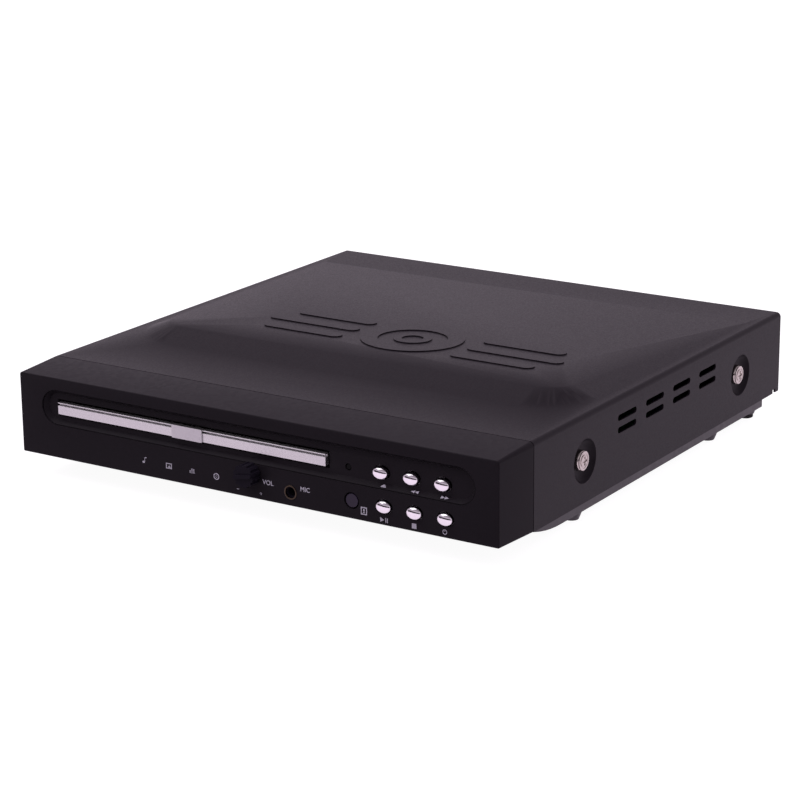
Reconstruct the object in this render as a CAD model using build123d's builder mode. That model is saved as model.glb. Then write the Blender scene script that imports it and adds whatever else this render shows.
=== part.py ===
from build123d import *
import math
import os

os.makedirs("parts", exist_ok=True)

# Case
cover_width = 225.0
body_depth = 235.0
panel_depth = 22.9
cover_height = 34.8
sheet = 0.8
pan_sheet = 1.0
cover_bend = 2.0
seam_gap = 0.4
pan_inset = 3.5
pan_front = 23.5
pan_flange_up = 2.3
pan_side_up = 12.0
pan_step = 7.7
base_drop = 5.6
foot_height = 4.0
rear_lip = 8.0
rear_notch = 2.6
rear_notch_up = 1.2
rear_notch_in = 4.5
knob_reach = 6.5
sleeve_reach = 8.0
right_side = cover_width / 2

# Front panel
face_draft_side = 1.15
face_draft_top = 1.2
face_draft_foot = 0.4
panel_wall = 2.2
face_wall = 2.6
groove_margin = 11.6
groove_height = 14.65
groove_middle = 20.98
groove_x = 0.6
groove_depth = 2.4
groove_bevel = 1.8
shadow_line = 0.35
shadow_line_deep = 0.7

# Tray and door
tray_share = 0.2546667
tray_x = -tray_share * right_side
disc_radius = 60.0
disc_play = 0.5
small_disc_radius = 40.0
tray_side = 3.3
tray_rim = 4.4
tray_thick = 3.6
tray_floor = 1.6
well_step = 0.6
tray_bottom = 18.6
tray_slot = 50.0
tray_length = 170.4
tray_rear_gap = 1.5
slide_gap = 0.1
door_overlap = 0.5
door_height = 4.85
door_thick = 2.6
door_front = 1.0
door_middle = 20.56
door_gap = 1.0
door_bevel = 0.9
door_line = 0.4
door_line_deep = 0.35
badge_width = 14.5
badge_height = 5.2
badge_thick = 0.5
tray_front = door_front + door_thick
tray_width = 2 * (disc_radius + disc_play + tray_side)
door_width = tray_width + 2 * door_overlap
spindle_depth = tray_front + tray_rim + disc_radius + disc_play

# Controls on the front
button_width = 6.6
button_height = 4.9
button_gap = 0.45
button_proud = 2.0
button_dome = 1.6
button_travel = 0.5
lower_buttons_x = [62.2, 75.5, 88.8]
lower_buttons_up = 7.3
upper_buttons_x = [59.8, 73.1, 86.5]
upper_buttons_up = 19.55
upper_buttons_back = 1.6
knob_x = 2.2
knob_up = 10.2
knob_radius = 4.6
shaft_radius = 3.0
shaft_gap = 0.05
jack_x = 20.2
jack_up = 5.5
jack_bore = 1.8
jack_ring_radius = 2.9
jack_ring_wall = 0.6
jack_ring_gap = 0.05
jack_ledge = 0.5
window_x = 47.8
window_up = 7.1
window_radius = 3.3
window_ring = 0.6
window_set_back = 0.25
lens_x = 44.95
lens_up = 19.1
lens_radius = 1.4
lens_ring = 0.4
lens_set_back = 0.4
board_depth = 13.0
board_thick = 1.6
board_end = right_side - 7.5
board_posts = [
    (54.5, 13.8), (board_end - 4.0, 13.8), (board_end - 4.0, 27.0), (47.5, 27.0), (-10.5, 6.0),
]
post_radius = 2.2
clip_places = [-70.0, 0.0, 70.0]
clip_width = 10.0
clip_thick = 1.8

# Drive of the tray
rack_module = 1.0
pinion_teeth = 14
train_module = 0.6
drive_teeth = 28
pulley_teeth = 12
gear_play = 0.2
gear_addendum = 0.8
gear_dedendum = 1.05
gear_thick = 3.0
gear_rise = 0.2
drive_inset = 10.45
drive_x = tray_x - tray_width / 2 + drive_inset
drive_depth = 41.0
pulley_groove = 8.3
motor_groove = 1.9
belt_size = 0.9
motor_x = -45.0
motor_depth = 40.0
motor_radius = 9.5
motor_foot = -1.7
axle_radius = 1.5
axle_gap = 0.05

# Loader frame
loader_floor = 6.0
loader_sheet = 2.0
loader_wall = 2.5
loader_front = 26.0
loader_end = 2.5
loader_rear = tray_front + tray_length + tray_rear_gap + loader_end
loader_side_gap = 0.5
loader_front_up = 14.6
rail_thick = 1.6
tab_thick = 1.6
tower_up = 26.0
tower_half = 14.5

# Deck
deck_half = 39.0
deck_bar = 3.0
deck_front = spindle_depth - 16.5
deck_low = 9.0
hinge_depth = spindle_depth + 91.5
hinge_up = 12.0
hinge_radius = 2.0
deck_tilt = 3.3
lift_pin_x = [-22.0, 6.0]
lift_pin_up = 15.3
lift_pin_radius = 1.2
cam_gap = 4.3
cam_thick = 2.5
cam_depth = deck_front - cam_gap - cam_thick
cam_stroke = 20.0
plate_half = deck_half - 4.0
plate_up = 12.0
plate_thick = 1.0
plate_front = deck_front + 5.0
plate_rear = hinge_depth - 3.0
platter_radius = 14.5
platter_up = 20.9
hub_radius = 7.4
hub_up = 23.0
spindle_motor_radius = 11.0
spindle_radius = 1.0
rod_reach = plate_half - 13.0
rod_radius = 1.5
rod_up = 15.0
rod_front = spindle_depth + 7.5
rod_rear = hinge_depth - 8.0
sled_half = rod_reach + 4.0
sled_front = spindle_depth + 10.5
sled_length = 26.0
lens_depth = sled_front + sled_length / 2
sled_stroke = 35.0
sled_module = 0.5
sled_gear_teeth = 20
sled_pinion_teeth = 12
sled_gear_reach = plate_half - 3.0
sled_gear_depth = spindle_depth + 49.5
sled_motor_reach = plate_half - 3.5
sled_motor_radius = 4.0
clamper_radius = 13.0
clamper_neck = 9.8

# Case openings and fixings
vent_length = 15.2
vent_height = 2.5
vent_pitch = 23.2
vent_rows = [21.0, 26.0]
vent_groups = 4
vent_middle = 130.1
dish_depths = [61.7, body_depth - 38.8]
dish_up = 16.2
dish_radius = 8.7
dish_floor_radius = 4.8
screw_radius = 1.5
screw_gap = 0.05
foot_x = right_side - 9.0
foot_depths = [67.6, body_depth - 50.3, body_depth - 13.5]
foot_pad = 1.8

# Raised plateau on the cover
plateau_side = 5.5
plateau_front = 59.5
plateau_fade = body_depth - 23.0
plateau_rise = 4.6
plateau_run = 2.6
plateau_corner = 22.0
relief_rise = 0.45
relief_x = 6.5
relief_depth = 108.0
relief_rings = [(21.5, 14.5), (8.0, 4.5)]
relief_bar = 6.5
relief_bar_pitch = 13.0
relief_bar_lengths = [38.0, 44.0, 38.0]
relief_gap = 5.0

# Places that follow from the sizes above
plateau_width = cover_width - 2 * plateau_side
groove_length = cover_width - 2 * groove_margin
rear_face = body_depth - sheet
pan_rear = rear_face - pan_step
front_y = knob_reach - (rear_face + sleeve_reach + knob_reach) / 2
cover_foot_z = foot_height + base_drop
face_foot_z = cover_foot_z + face_draft_foot
cover_up = cover_height - face_draft_foot
pan_half = cover_width / 2 - pan_inset
sled_centres = sled_module * (sled_gear_teeth + sled_pinion_teeth) / 2
sled_offset = sled_motor_reach - sled_gear_reach
sled_motor_depth = sled_gear_depth + math.sqrt(sled_centres**2 - sled_offset**2)
mesh_line = math.atan2(sled_motor_depth - sled_gear_depth, sled_offset)
sled_tooth = 2 * math.pi / sled_gear_teeth
mesh_shift = math.remainder(mesh_line - math.pi, sled_tooth)
pinion_shift = mesh_shift * sled_gear_teeth / sled_pinion_teeth
sled_pinion_phase = mesh_line + math.pi + math.pi / sled_pinion_teeth + pinion_shift


def y_at(depth):
    """Row y of a point that lies this far behind the front face."""
    return front_y + depth


def z_at(height):
    """Row z of a point this far above the foot of the front face."""
    return face_foot_z + height


def front_plane(depth):
    """Upright plane at a depth, seen from the front: local x is X, local y is Z."""
    return Plane(origin=(0, y_at(depth), 0), x_dir=(1, 0, 0), z_dir=(0, -1, 0))


def side_plane(x):
    """Upright plane along the object: local x is Y, local y is Z."""
    return Plane(origin=(x, 0, 0), x_dir=(0, 1, 0), z_dir=(1, 0, 0))


def level(height):
    """Level plane at a height above the foot of the front face."""
    return Plane.XY.offset(z_at(height))


def block(x0, x1, d0, d1, h0, h1, mode=Mode.ADD):
    """Add a block given by its limits in x, depth and height."""
    with Locations(((x0 + x1) / 2, y_at((d0 + d1) / 2), z_at((h0 + h1) / 2))):
        Box(abs(x1 - x0), d1 - d0, h1 - h0, mode=mode)


def post(x, depth, h0, h1, radius, mode=Mode.ADD):
    """Add an upright cylinder between two heights."""
    with Locations((x, y_at(depth), z_at((h0 + h1) / 2))):
        Cylinder(radius, h1 - h0, mode=mode)


def pin(x, d0, d1, height, radius, mode=Mode.ADD):
    """Add a cylinder that runs from one depth to another."""
    with Locations((x, y_at((d0 + d1) / 2), z_at(height))):
        Cylinder(radius, d1 - d0, rotation=(90, 0, 0), mode=mode)


def cross_pin(x0, x1, depth, height, radius, mode=Mode.ADD):
    """Add a cylinder that runs across the object."""
    with Locations(((x0 + x1) / 2, y_at(depth), z_at(height))):
        Cylinder(radius, abs(x1 - x0), rotation=(0, 90, 0), mode=mode)


def finish(builder, name):
    """Label a finished piece and write its file."""
    builder.part.label = name
    export_step(builder.part, f"parts/{name}.step")


def tooth_points(teeth, module, phase):
    """Corners of a spur gear's outline: each flank is an involute through three points."""
    pitch_r = module * teeth / 2
    base_r = pitch_r * math.cos(math.radians(20))
    tip_r = pitch_r + gear_addendum * module
    root_r = pitch_r - gear_dedendum * module
    half_pitch_angle = (math.pi / 2 - gear_play) * module / (2 * pitch_r)

    def roll(radius):
        pressure = math.acos(min(1.0, base_r / radius))
        return math.tan(pressure) - pressure

    points = []
    for tooth in range(teeth):
        centre = phase + tooth * 2 * math.pi / teeth
        foot_r = max(root_r, base_r)
        half = [half_pitch_angle + roll(pitch_r) - roll(r) for r in (foot_r, pitch_r, tip_r)]
        radii = [root_r, pitch_r, tip_r]
        for radius, angle in zip(radii, half):
            points.append((radius * math.cos(centre - angle), radius * math.sin(centre - angle)))
        for radius, angle in reversed(list(zip(radii, half))):
            points.append((radius * math.cos(centre + angle), radius * math.sin(centre + angle)))
    return points


def gear_plane(x, depth, height):
    """Level plane whose origin is on a gear's axis."""
    return Plane(origin=(x, y_at(depth), z_at(height)))


# Front panel: a drafted, hollow moulding with the long bevelled groove
face_top = cover_up - face_draft_top
jack_seat = 0.6
face_round = 0.5
face_corner = 1.0
foot_corner = 0.6
inner_round = 1.0
clip_root = 3.0
with BuildPart() as front_panel:
    with BuildSketch(front_plane(panel_depth - seam_gap / 2)) as panel_end:
        with Locations((0, z_at((cover_up - face_draft_foot) / 2))):
            Rectangle(cover_width, cover_height)
        fillet(panel_end.vertices().group_by(Axis.Y)[-1], radius=cover_bend)
        fillet(panel_end.vertices().group_by(Axis.Y)[0], radius=foot_corner)
    with BuildSketch(front_plane(0)) as panel_face:
        with Locations((0, z_at(face_top / 2))):
            Rectangle(cover_width - 2 * face_draft_side, face_top)
        fillet(panel_face.vertices().group_by(Axis.Y)[-1], radius=face_corner)
        fillet(panel_face.vertices().group_by(Axis.Y)[0], radius=foot_corner)
    loft()
    fillet(front_panel.faces().sort_by(Axis.Y)[0].edges(), radius=face_round)
    with BuildSketch(front_plane(panel_depth)):
        with Locations((0, z_at((cover_up - face_draft_foot) / 2))):
            RectangleRounded(
                cover_width - 2 * panel_wall, cover_height - 2 * panel_wall, inner_round
            )
    with BuildSketch(front_plane(face_wall)):
        with Locations((0, z_at(face_top / 2))):
            RectangleRounded(
                cover_width - 2 * panel_wall - 2 * face_draft_side, face_top - 2 * panel_wall, inner_round
            )
    loft(mode=Mode.SUBTRACT)
    with BuildSketch(front_plane(face_wall - 0.1)):
        with Locations((groove_x, z_at(groove_middle))):
            SlotOverall(groove_length, groove_height)
    extrude(amount=-(groove_depth + 0.1))
    with BuildSketch(front_plane(0)):
        with Locations((groove_x, z_at(groove_middle))):
            SlotOverall(groove_length, groove_height)
    with BuildSketch(front_plane(groove_depth)):
        with Locations((groove_x, z_at(groove_middle))):
            SlotOverall(groove_length - 2 * groove_bevel, groove_height - 2 * groove_bevel)
    loft(mode=Mode.SUBTRACT)
    with BuildSketch(front_plane(0)):
        with Locations((groove_x, z_at(groove_middle))):
            SlotOverall(groove_length, groove_height)
            SlotOverall(
                groove_length - 2 * shadow_line, groove_height - 2 * shadow_line, mode=Mode.SUBTRACT
            )
    extrude(amount=-shadow_line_deep, mode=Mode.SUBTRACT)
    with BuildSketch(front_plane(0)):
        with Locations((tray_x, z_at(door_middle))):
            Rectangle(door_width + 2 * door_gap, door_height + 2 * door_gap)
        with Locations(*[(x, z_at(upper_buttons_up)) for x in upper_buttons_x]):
            Ellipse(button_width / 2 + button_gap, button_height / 2 + button_gap)
        with Locations(*[(x, z_at(lower_buttons_up)) for x in lower_buttons_x]):
            Ellipse(button_width / 2 + button_gap, button_height / 2 + button_gap)
        with Locations((window_x, z_at(window_up))):
            Circle(window_radius)
        with Locations((lens_x, z_at(lens_up))):
            Circle(lens_radius)
        with Locations((jack_x, z_at(jack_up))):
            Circle(jack_ring_radius - jack_ledge)
        with Locations((knob_x, z_at(knob_up))):
            Circle(shaft_radius + 0.3)
    extrude(amount=-(face_wall + groove_depth + 1), mode=Mode.SUBTRACT)
    with BuildSketch(front_plane(0)):
        with Locations((jack_x, z_at(jack_up))):
            Circle(jack_ring_radius)
    extrude(amount=-jack_seat, mode=Mode.SUBTRACT)
    for x, up in board_posts:
        pin(x, face_wall - 0.1, board_depth, up, post_radius)
    for x in clip_places:
        block(
            x - clip_width / 2, x + clip_width / 2, panel_depth - clip_root, pan_front + pan_sheet,
            pan_flange_up, pan_flange_up + clip_thick,
        )
        block(
            x - clip_width / 2, x + clip_width / 2, panel_depth - clip_root, panel_depth - seam_gap / 2,
            panel_wall - 1, pan_flange_up + clip_thick,
        )
finish(front_panel, "front_panel")

# Top cover: a bent sheet with a raised plateau, vents and dished screw seats
plateau_rear = plateau_fade + 20.0
plateau_loft = plateau_rise * 1.25
plateau_inset = plateau_run * plateau_loft
plateau_top_front = plateau_front + plateau_run * plateau_rise
plateau_slope = plateau_rise / (plateau_fade - plateau_top_front)
plateau_skin = Plane(
    origin=(0, y_at(plateau_fade), z_at(cover_up)),
    x_dir=(1, 0, 0),
    z_dir=(0, plateau_slope, 1),
)
plateau_centre = (0, y_at((plateau_front + plateau_rear) / 2))
plateau_reach = plateau_rear - plateau_front
with BuildPart() as plateau:
    with BuildSketch(level(cover_up)):
        with Locations(plateau_centre):
            RectangleRounded(plateau_width, plateau_reach, plateau_corner)
    with BuildSketch(level(cover_up + plateau_loft)):
        with Locations(plateau_centre):
            RectangleRounded(
                plateau_width - 2 * plateau_inset,
                plateau_reach - 2 * plateau_inset,
                plateau_corner - plateau_inset,
            )
    loft()
    split(bisect_by=plateau_skin, keep=Keep.BOTTOM)

relief_plane = Plane(
    origin=(relief_x, y_at(relief_depth), z_at(cover_up + plateau_slope * (plateau_fade - relief_depth))),
    x_dir=(1, 0, 0),
    z_dir=(0, plateau_slope, 1),
)
with BuildPart() as relief:
    with BuildSketch(relief_plane):
        for outer, inner in relief_rings:
            Circle(outer)
            Circle(inner, mode=Mode.SUBTRACT)
            if (outer, inner) == relief_rings[0]:
                for side in (-1, 1):
                    for row, length in enumerate(relief_bar_lengths):
                        reach = relief_rings[0][0] + relief_gap + length / 2
                        with Locations((side * reach, (row - 1) * relief_bar_pitch)):
                            SlotOverall(length, relief_bar)
    extrude(amount=relief_rise)

with BuildPart() as cover_space:
    with BuildSketch(front_plane(panel_depth - 1)):
        with Locations((0, z_at((cover_up - sheet) / 2 - 5))):
            Rectangle(cover_width - 2 * sheet, cover_up - sheet + 10)
    extrude(amount=-(rear_face - panel_depth + 1))
    fillet(cover_space.edges().filter_by(Axis.Y).group_by(Axis.Z)[-1], radius=cover_bend - sheet)

rear_screw_x = [-(right_side - 14.5), 0.0, right_side - 14.5]
rear_screw_up = cover_up - rear_lip / 2
dish_drop = pan_inset - sheet
dish_sides = [(side, depth) for side in (-1, 1) for depth in dish_depths]


def dish_seat(side, depth):
    """Plane through a side screw's axis: local x points into the case."""
    return Plane(
        origin=(side * cover_width / 2, y_at(depth), z_at(dish_up)),
        x_dir=(-side, 0, 0),
        z_dir=(0, -1, 0),
    )


with BuildPart() as top_cover:
    with BuildSketch(front_plane(panel_depth + seam_gap / 2)):
        with Locations((0, z_at(cover_up - cover_height / 2))):
            Rectangle(cover_width, cover_height)
    extrude(amount=-(body_depth - panel_depth - seam_gap / 2))
    fillet(top_cover.edges().filter_by(Axis.Y).group_by(Axis.Z)[-1], radius=cover_bend)
    add(plateau.part)
    add(cover_space.part, mode=Mode.SUBTRACT)
    add(plateau.part.moved(Location((0, 0, -sheet))), mode=Mode.SUBTRACT)
    add(relief.part)
    add(relief.part.moved(Location((0, 0, -sheet))), mode=Mode.SUBTRACT)
    with BuildSketch(front_plane(rear_face - 1)):
        with Locations((0, z_at((cover_up - rear_lip) / 2 - 5))):
            Rectangle(cover_width - 2 * sheet, cover_up - rear_lip + 10)
    extrude(amount=-(sheet + 2), mode=Mode.SUBTRACT)
    for side, depth in dish_sides:
        for skin, mode in [(sheet, Mode.ADD), (0, Mode.SUBTRACT)]:
            seat = dish_seat(side, depth)
            rim = dish_radius + skin
            floor_rim = dish_floor_radius + skin
            with BuildSketch(seat):
                with BuildLine():
                    Polyline((skin - 0.5, 0), (skin - 0.5, rim), (skin, rim))
                    ThreePointArc(
                        (skin, rim),
                        (skin + 0.7 * dish_drop, (rim + floor_rim) / 2 + 0.5),
                        (skin + dish_drop, floor_rim),
                    )
                    Polyline((skin + dish_drop, floor_rim), (skin + dish_drop, 0), (skin - 0.5, 0))
                make_face()
            revolve(axis=Axis(seat.origin, seat.x_dir), mode=mode)
    with BuildSketch(side_plane(-cover_width / 2 - 1)):
        with Locations(*[(y_at(depth), z_at(dish_up)) for depth in dish_depths]):
            Circle(screw_radius + screw_gap)
        with Locations((y_at(vent_middle), z_at(sum(vent_rows) / 2))):
            with GridLocations(vent_pitch, vent_rows[1] - vent_rows[0], vent_groups, 2):
                SlotOverall(vent_length, vent_height)
        with Locations((y_at(body_depth - rear_notch_in), z_at(0))):
            Rectangle(rear_notch, 2 * rear_notch_up)
    extrude(amount=cover_width + 2, mode=Mode.SUBTRACT)
    for x in rear_screw_x:
        pin(x, rear_face - 1, body_depth + 1, rear_screw_up, screw_radius + screw_gap, Mode.SUBTRACT)
finish(top_cover, "top_cover")

# Base pan: a pressed tray with a raised nose, pressed nubs, screw tabs and board posts
pan_floor = -base_drop - face_draft_foot
pan_inside = pan_floor + pan_sheet
pan_foot = -face_draft_foot
nose_end = 50.0
board_up = 1.0
board_edge = 3.2
board_rear = rear_face - board_edge
main_left = tray_x + tray_width / 2 + loader_side_gap + loader_wall + 7.85
main_right = right_side - 6.5
main_front = 60.0
main_posts = [
    (x, depth) for depth in (main_front + 6, board_rear - 26) for x in (main_left + 4, main_right - 4)
]
power_left = -(right_side - 8.5)
power_right = power_left + 104.0
power_front = loader_rear + 3.0
power_posts = [
    (power_left + 4, power_front + 4), (power_right - 14, power_front + 4),
    (power_right - 4, board_rear - 5), (power_left + 32.5, board_rear - 5),
]
pan_bore = screw_radius + screw_gap
post_outer = 3.0
with BuildPart() as base_pan:
    with BuildSketch(side_plane(-pan_half)):
        with BuildLine():
            TangentArc(
                (y_at(nose_end), z_at(pan_floor)),
                (y_at(pan_front), z_at(pan_foot - 0.5)),
                tangent=(-1, 0),
            )
            Polyline(
                (y_at(pan_front), z_at(pan_foot - 0.5)),
                (y_at(pan_front), z_at(pan_side_up)),
                (y_at(rear_face - pan_sheet), z_at(pan_side_up)),
                (y_at(rear_face - pan_sheet), z_at(pan_foot + pan_sheet)),
                (y_at(rear_face), z_at(pan_foot + pan_sheet)),
                (y_at(rear_face), z_at(pan_foot)),
                (y_at(pan_rear), z_at(pan_foot)),
                (y_at(pan_rear), z_at(pan_floor)),
                (y_at(nose_end), z_at(pan_floor)),
            )
        make_face()
    extrude(amount=2 * pan_half)
    with BuildSketch(side_plane(-pan_half + pan_sheet)):
        with BuildLine():
            TangentArc(
                (y_at(nose_end), z_at(pan_inside)),
                (y_at(pan_front + pan_sheet), z_at(pan_foot + 0.5)),
                tangent=(-1, 0),
            )
            Polyline(
                (y_at(pan_front + pan_sheet), z_at(pan_foot + 0.5)),
                (y_at(pan_front + pan_sheet), z_at(pan_side_up + 1)),
                (y_at(rear_face - 2 * pan_sheet), z_at(pan_side_up + 1)),
                (y_at(rear_face - 2 * pan_sheet), z_at(pan_foot + pan_sheet)),
                (y_at(pan_rear - pan_sheet), z_at(pan_foot + pan_sheet)),
                (y_at(pan_rear - pan_sheet), z_at(pan_inside)),
                (y_at(nose_end), z_at(pan_inside)),
            )
        make_face()
    extrude(amount=2 * (pan_half - pan_sheet), mode=Mode.SUBTRACT)
    inner = pan_half - pan_sheet
    block(-inner, inner, pan_front - 1, pan_front + 3, pan_flange_up, pan_side_up + 1, Mode.SUBTRACT)
    block(-inner, inner, rear_face - 5, rear_face + 1, pan_flange_up, pan_side_up + 1, Mode.SUBTRACT)
    for side in (-1, 1):
        for depth in dish_depths:
            block(
                min(side * inner, side * pan_half), max(side * inner, side * pan_half),
                depth - 8, depth + 8, pan_side_up - 1, dish_up + 6,
            )
            cross_pin(
                min(side * (inner - 1), side * (pan_half + 1)),
                max(side * (inner - 1), side * (pan_half + 1)),
                depth, dish_up, pan_bore, Mode.SUBTRACT,
            )
        for depth in foot_depths[:2]:
            with Locations((side * foot_x, y_at(depth), z_at(pan_floor - foot_height / 2))):
                Cone(3.0, 4.6, foot_height)
        with Locations((side * foot_x, y_at(foot_depths[2]), z_at(pan_floor - (foot_height - foot_pad) / 2))):
            Cone(3.8, 4.6, foot_height - foot_pad)
    for x, depth in main_posts + power_posts:
        post(x, depth, pan_inside - 0.1, board_up, post_outer)
        post(x, depth, pan_inside, board_up + 1, pan_bore, Mode.SUBTRACT)
finish(base_pan, "base_pan")

with BuildPart() as rear_feet:
    for side in (-1, 1):
        post(side * foot_x, foot_depths[2], pan_floor - foot_height, pan_floor - foot_height + foot_pad, 3.4)
    fillet(rear_feet.edges().group_by(Axis.Z)[0], radius=0.5)
finish(rear_feet, "rear_feet")

# Rear panel with the openings for the sockets, the mains inlet and air
socket_pitch = 14.0
socket_x = [right_side - 28.5 - socket_pitch, right_side - 28.5]
socket_low = 7.3
socket_up = [socket_low, socket_low + socket_pitch]
socket_places = [(x, up) for x in socket_x for up in socket_up]
sleeve_radius = 4.15
sleeve_wall = 0.55
socket_hole_gap = 0.9
inlet_x = -(right_side - 24.5)
inlet_width = 22.0
inlet_foot = board_up + board_thick
inlet_height = 15.0
inlet_gap = 0.2
rear_vent_x = -25.0
rear_vent_up = 16.0
rear_vent_pitch = 20.0
rear_vent_rows = 5.0
rear_vent_length = 14.0
rear_vent_height = 2.0
with BuildPart() as rear_panel:
    block(
        -pan_half, pan_half, rear_face - pan_sheet, rear_face,
        pan_foot + pan_sheet, cover_up - sheet - 0.3,
    )
    for x, up in socket_places:
        pin(x, rear_face - 2, rear_face + 1, up, sleeve_radius + socket_hole_gap, Mode.SUBTRACT)
    for x in rear_screw_x:
        pin(x, rear_face - 2, rear_face + 1, rear_screw_up, pan_bore, Mode.SUBTRACT)
    block(
        inlet_x - inlet_width / 2 - inlet_gap, inlet_x + inlet_width / 2 + inlet_gap,
        rear_face - 2, rear_face + 1,
        inlet_foot - inlet_gap, inlet_foot + inlet_height + inlet_gap, Mode.SUBTRACT,
    )
    with BuildSketch(front_plane(rear_face + 1)):
        with Locations((rear_vent_x, z_at(rear_vent_up))):
            with GridLocations(rear_vent_pitch, rear_vent_rows, 4, 3):
                SlotOverall(rear_vent_length, rear_vent_height)
    extrude(amount=3, mode=Mode.SUBTRACT)
finish(rear_panel, "rear_panel")

# Screws of the case
head_radius = 4.1
head_thick = 2.2
shank_length = 5.5
with BuildPart() as cover_screws:
    for side, depth in dish_sides:
        floor_x = cover_width / 2 - dish_drop
        shank_in = floor_x - shank_length
        cross_pin(
            min(side * floor_x, side * (floor_x + head_thick)),
            max(side * floor_x, side * (floor_x + head_thick)),
            depth, dish_up, head_radius,
        )
        cross_pin(
            min(side * shank_in, side * (floor_x + 0.1)), max(side * shank_in, side * (floor_x + 0.1)),
            depth, dish_up, screw_radius,
        )
    fillet(cover_screws.edges().group_by(Axis.X)[0], radius=1.2)
    fillet(cover_screws.edges().group_by(Axis.X)[-1], radius=1.2)
finish(cover_screws, "cover_screws")

with BuildPart() as rear_screws:
    for x in rear_screw_x:
        pin(x, body_depth, body_depth + 1.7, rear_screw_up, 2.9)
        pin(x, rear_face - 5, body_depth + 0.1, rear_screw_up, screw_radius)
    fillet(rear_screws.edges().group_by(Axis.Y)[-1], radius=0.9)
finish(rear_screws, "rear_screws")

# Front controls: window, indicator, key board, jack and volume control
groove_back = face_wall + groove_depth
switch_front = 9.0
key_size = 6.0
pot_size = 12.0
pot_front = 7.0
pot_bushing = 1.6
board_start = -14.0
keys_start = 42.0
board_low = 2.6
board_step = 14.0
board_high = 29.5
plug_x = board_end - 14.0
plug_width = 16.0
plug_thick = 1.25
jack_width = 7.0
jack_height = 6.4
jack_rear = 17.5
switch_height = 3.3
plunger_radius = 1.7
upper_places = [(x, upper_buttons_up) for x in upper_buttons_x]
lower_places = [(x, lower_buttons_up) for x in lower_buttons_x]
with BuildPart() as ir_window:
    pin(window_x, window_set_back, face_wall + 0.1, window_up, window_radius - window_ring)
    pin(window_x, face_wall, face_wall + 1, window_up, window_radius + 0.6)
    fillet(ir_window.edges().group_by(Axis.Y)[0], radius=0.15)
finish(ir_window, "ir_window")

with BuildPart() as led_lens:
    pin(lens_x, groove_depth + lens_set_back, board_depth, lens_up, lens_radius - lens_ring)
    pin(lens_x, groove_back, groove_back + 1, lens_up, lens_radius + 0.6)
finish(led_lens, "led_lens")

with BuildPart() as front_board:
    block(board_start, board_end, board_depth, board_depth + board_thick, board_low, board_step)
    block(keys_start, board_end, board_depth, board_depth + board_thick, board_step - 0.1, board_high)
    block(
        jack_x - jack_width / 2 - 0.1, jack_x + jack_width / 2 + 0.1, board_depth - 1,
        board_depth + board_thick + 1, 2, jack_up + jack_height / 2 + 0.1, Mode.SUBTRACT,
    )
    block(
        plug_x - plug_width / 2, plug_x + plug_width / 2,
        board_depth + board_thick, board_depth + board_thick + plug_thick, 18, 23,
    )
finish(front_board, "front_board")

with BuildPart() as tact_switches:
    for x, up in upper_places + lower_places:
        block(
            x - key_size / 2, x + key_size / 2, board_depth - switch_height, board_depth,
            up - key_size / 2, up + key_size / 2,
        )
        pin(x, switch_front, board_depth - switch_height + 0.1, up, plunger_radius)
finish(tact_switches, "tact_switches")

with BuildPart() as ir_receiver:
    block(window_x - 3.5, window_x + 3.5, board_depth - 3.0, board_depth, window_up - 4, window_up + 4)
    pin(window_x, board_depth - 4.5, board_depth - 2.9, window_up, 2.6)
    fillet(ir_receiver.edges().group_by(Axis.Y)[0], radius=1.2)
finish(ir_receiver, "ir_receiver")

with BuildPart() as volume_pot:
    block(knob_x - pot_size / 2, knob_x + pot_size / 2, pot_front, board_depth, knob_up - 6, knob_up + 6)
    pin(knob_x, pot_front - pot_bushing, pot_front + 0.1, knob_up, shaft_radius + 0.9)
    pin(knob_x, pot_front - 3, board_depth - 1, knob_up, shaft_radius + shaft_gap, Mode.SUBTRACT)
finish(volume_pot, "volume_pot")

with BuildPart() as volume_shaft:
    pin(knob_x, 1.5 - knob_reach, board_depth - 1.5, knob_up, shaft_radius)
finish(volume_shaft, "volume_shaft")

grip_proud = 0.9
grip_width = 1.6
grip_turn = 9.5
knob_gap = 0.5
knob_flutes = 12
flute_radius = 0.7
with BuildPart() as volume_knob:
    with BuildSketch(front_plane(grip_proud - knob_reach)):
        with Locations((knob_x, z_at(knob_up))):
            Circle(knob_radius)
            with PolarLocations(knob_radius + 0.2, knob_flutes):
                Circle(flute_radius, mode=Mode.SUBTRACT)
    extrude(amount=-(knob_reach - grip_proud - knob_gap))
    with BuildSketch(front_plane(-knob_reach)):
        with Locations((knob_x, z_at(knob_up))):
            SlotOverall(2 * knob_radius - 0.9, grip_width, rotation=grip_turn)
    extrude(amount=-(grip_proud + 0.1))
    pin(knob_x, 1.5 - knob_reach, 1, knob_up, shaft_radius + 0.02, Mode.SUBTRACT)
finish(volume_knob, "volume_knob")

with BuildPart() as mic_jack:
    block(
        jack_x - jack_width / 2, jack_x + jack_width / 2, face_wall + 0.4, jack_rear,
        jack_up - jack_height / 2, jack_up + jack_height / 2,
    )
    pin(jack_x, jack_seat, face_wall + 0.5, jack_up, jack_ring_radius - jack_ledge - jack_ring_gap)
    pin(jack_x, 0, jack_rear - 1.9, jack_up, jack_bore, Mode.SUBTRACT)
finish(mic_jack, "mic_jack")

with BuildPart() as jack_ring:
    pin(jack_x, -0.3, jack_seat, jack_up, jack_ring_radius - jack_ring_gap)
    pin(
        jack_x, -1, jack_seat + 1, jack_up, jack_ring_radius - jack_ring_gap - jack_ring_wall,
        Mode.SUBTRACT,
    )
    fillet(jack_ring.edges().group_by(Axis.Y)[0], radius=0.2)
finish(jack_ring, "jack_ring")

button_lip = 0.5
button_flange = 1.0
stem_radius = 1.6
switch_gap = 0.1
dome_steps = [0.0, 0.35, 0.62, 0.82, 0.94, 0.99]


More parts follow.
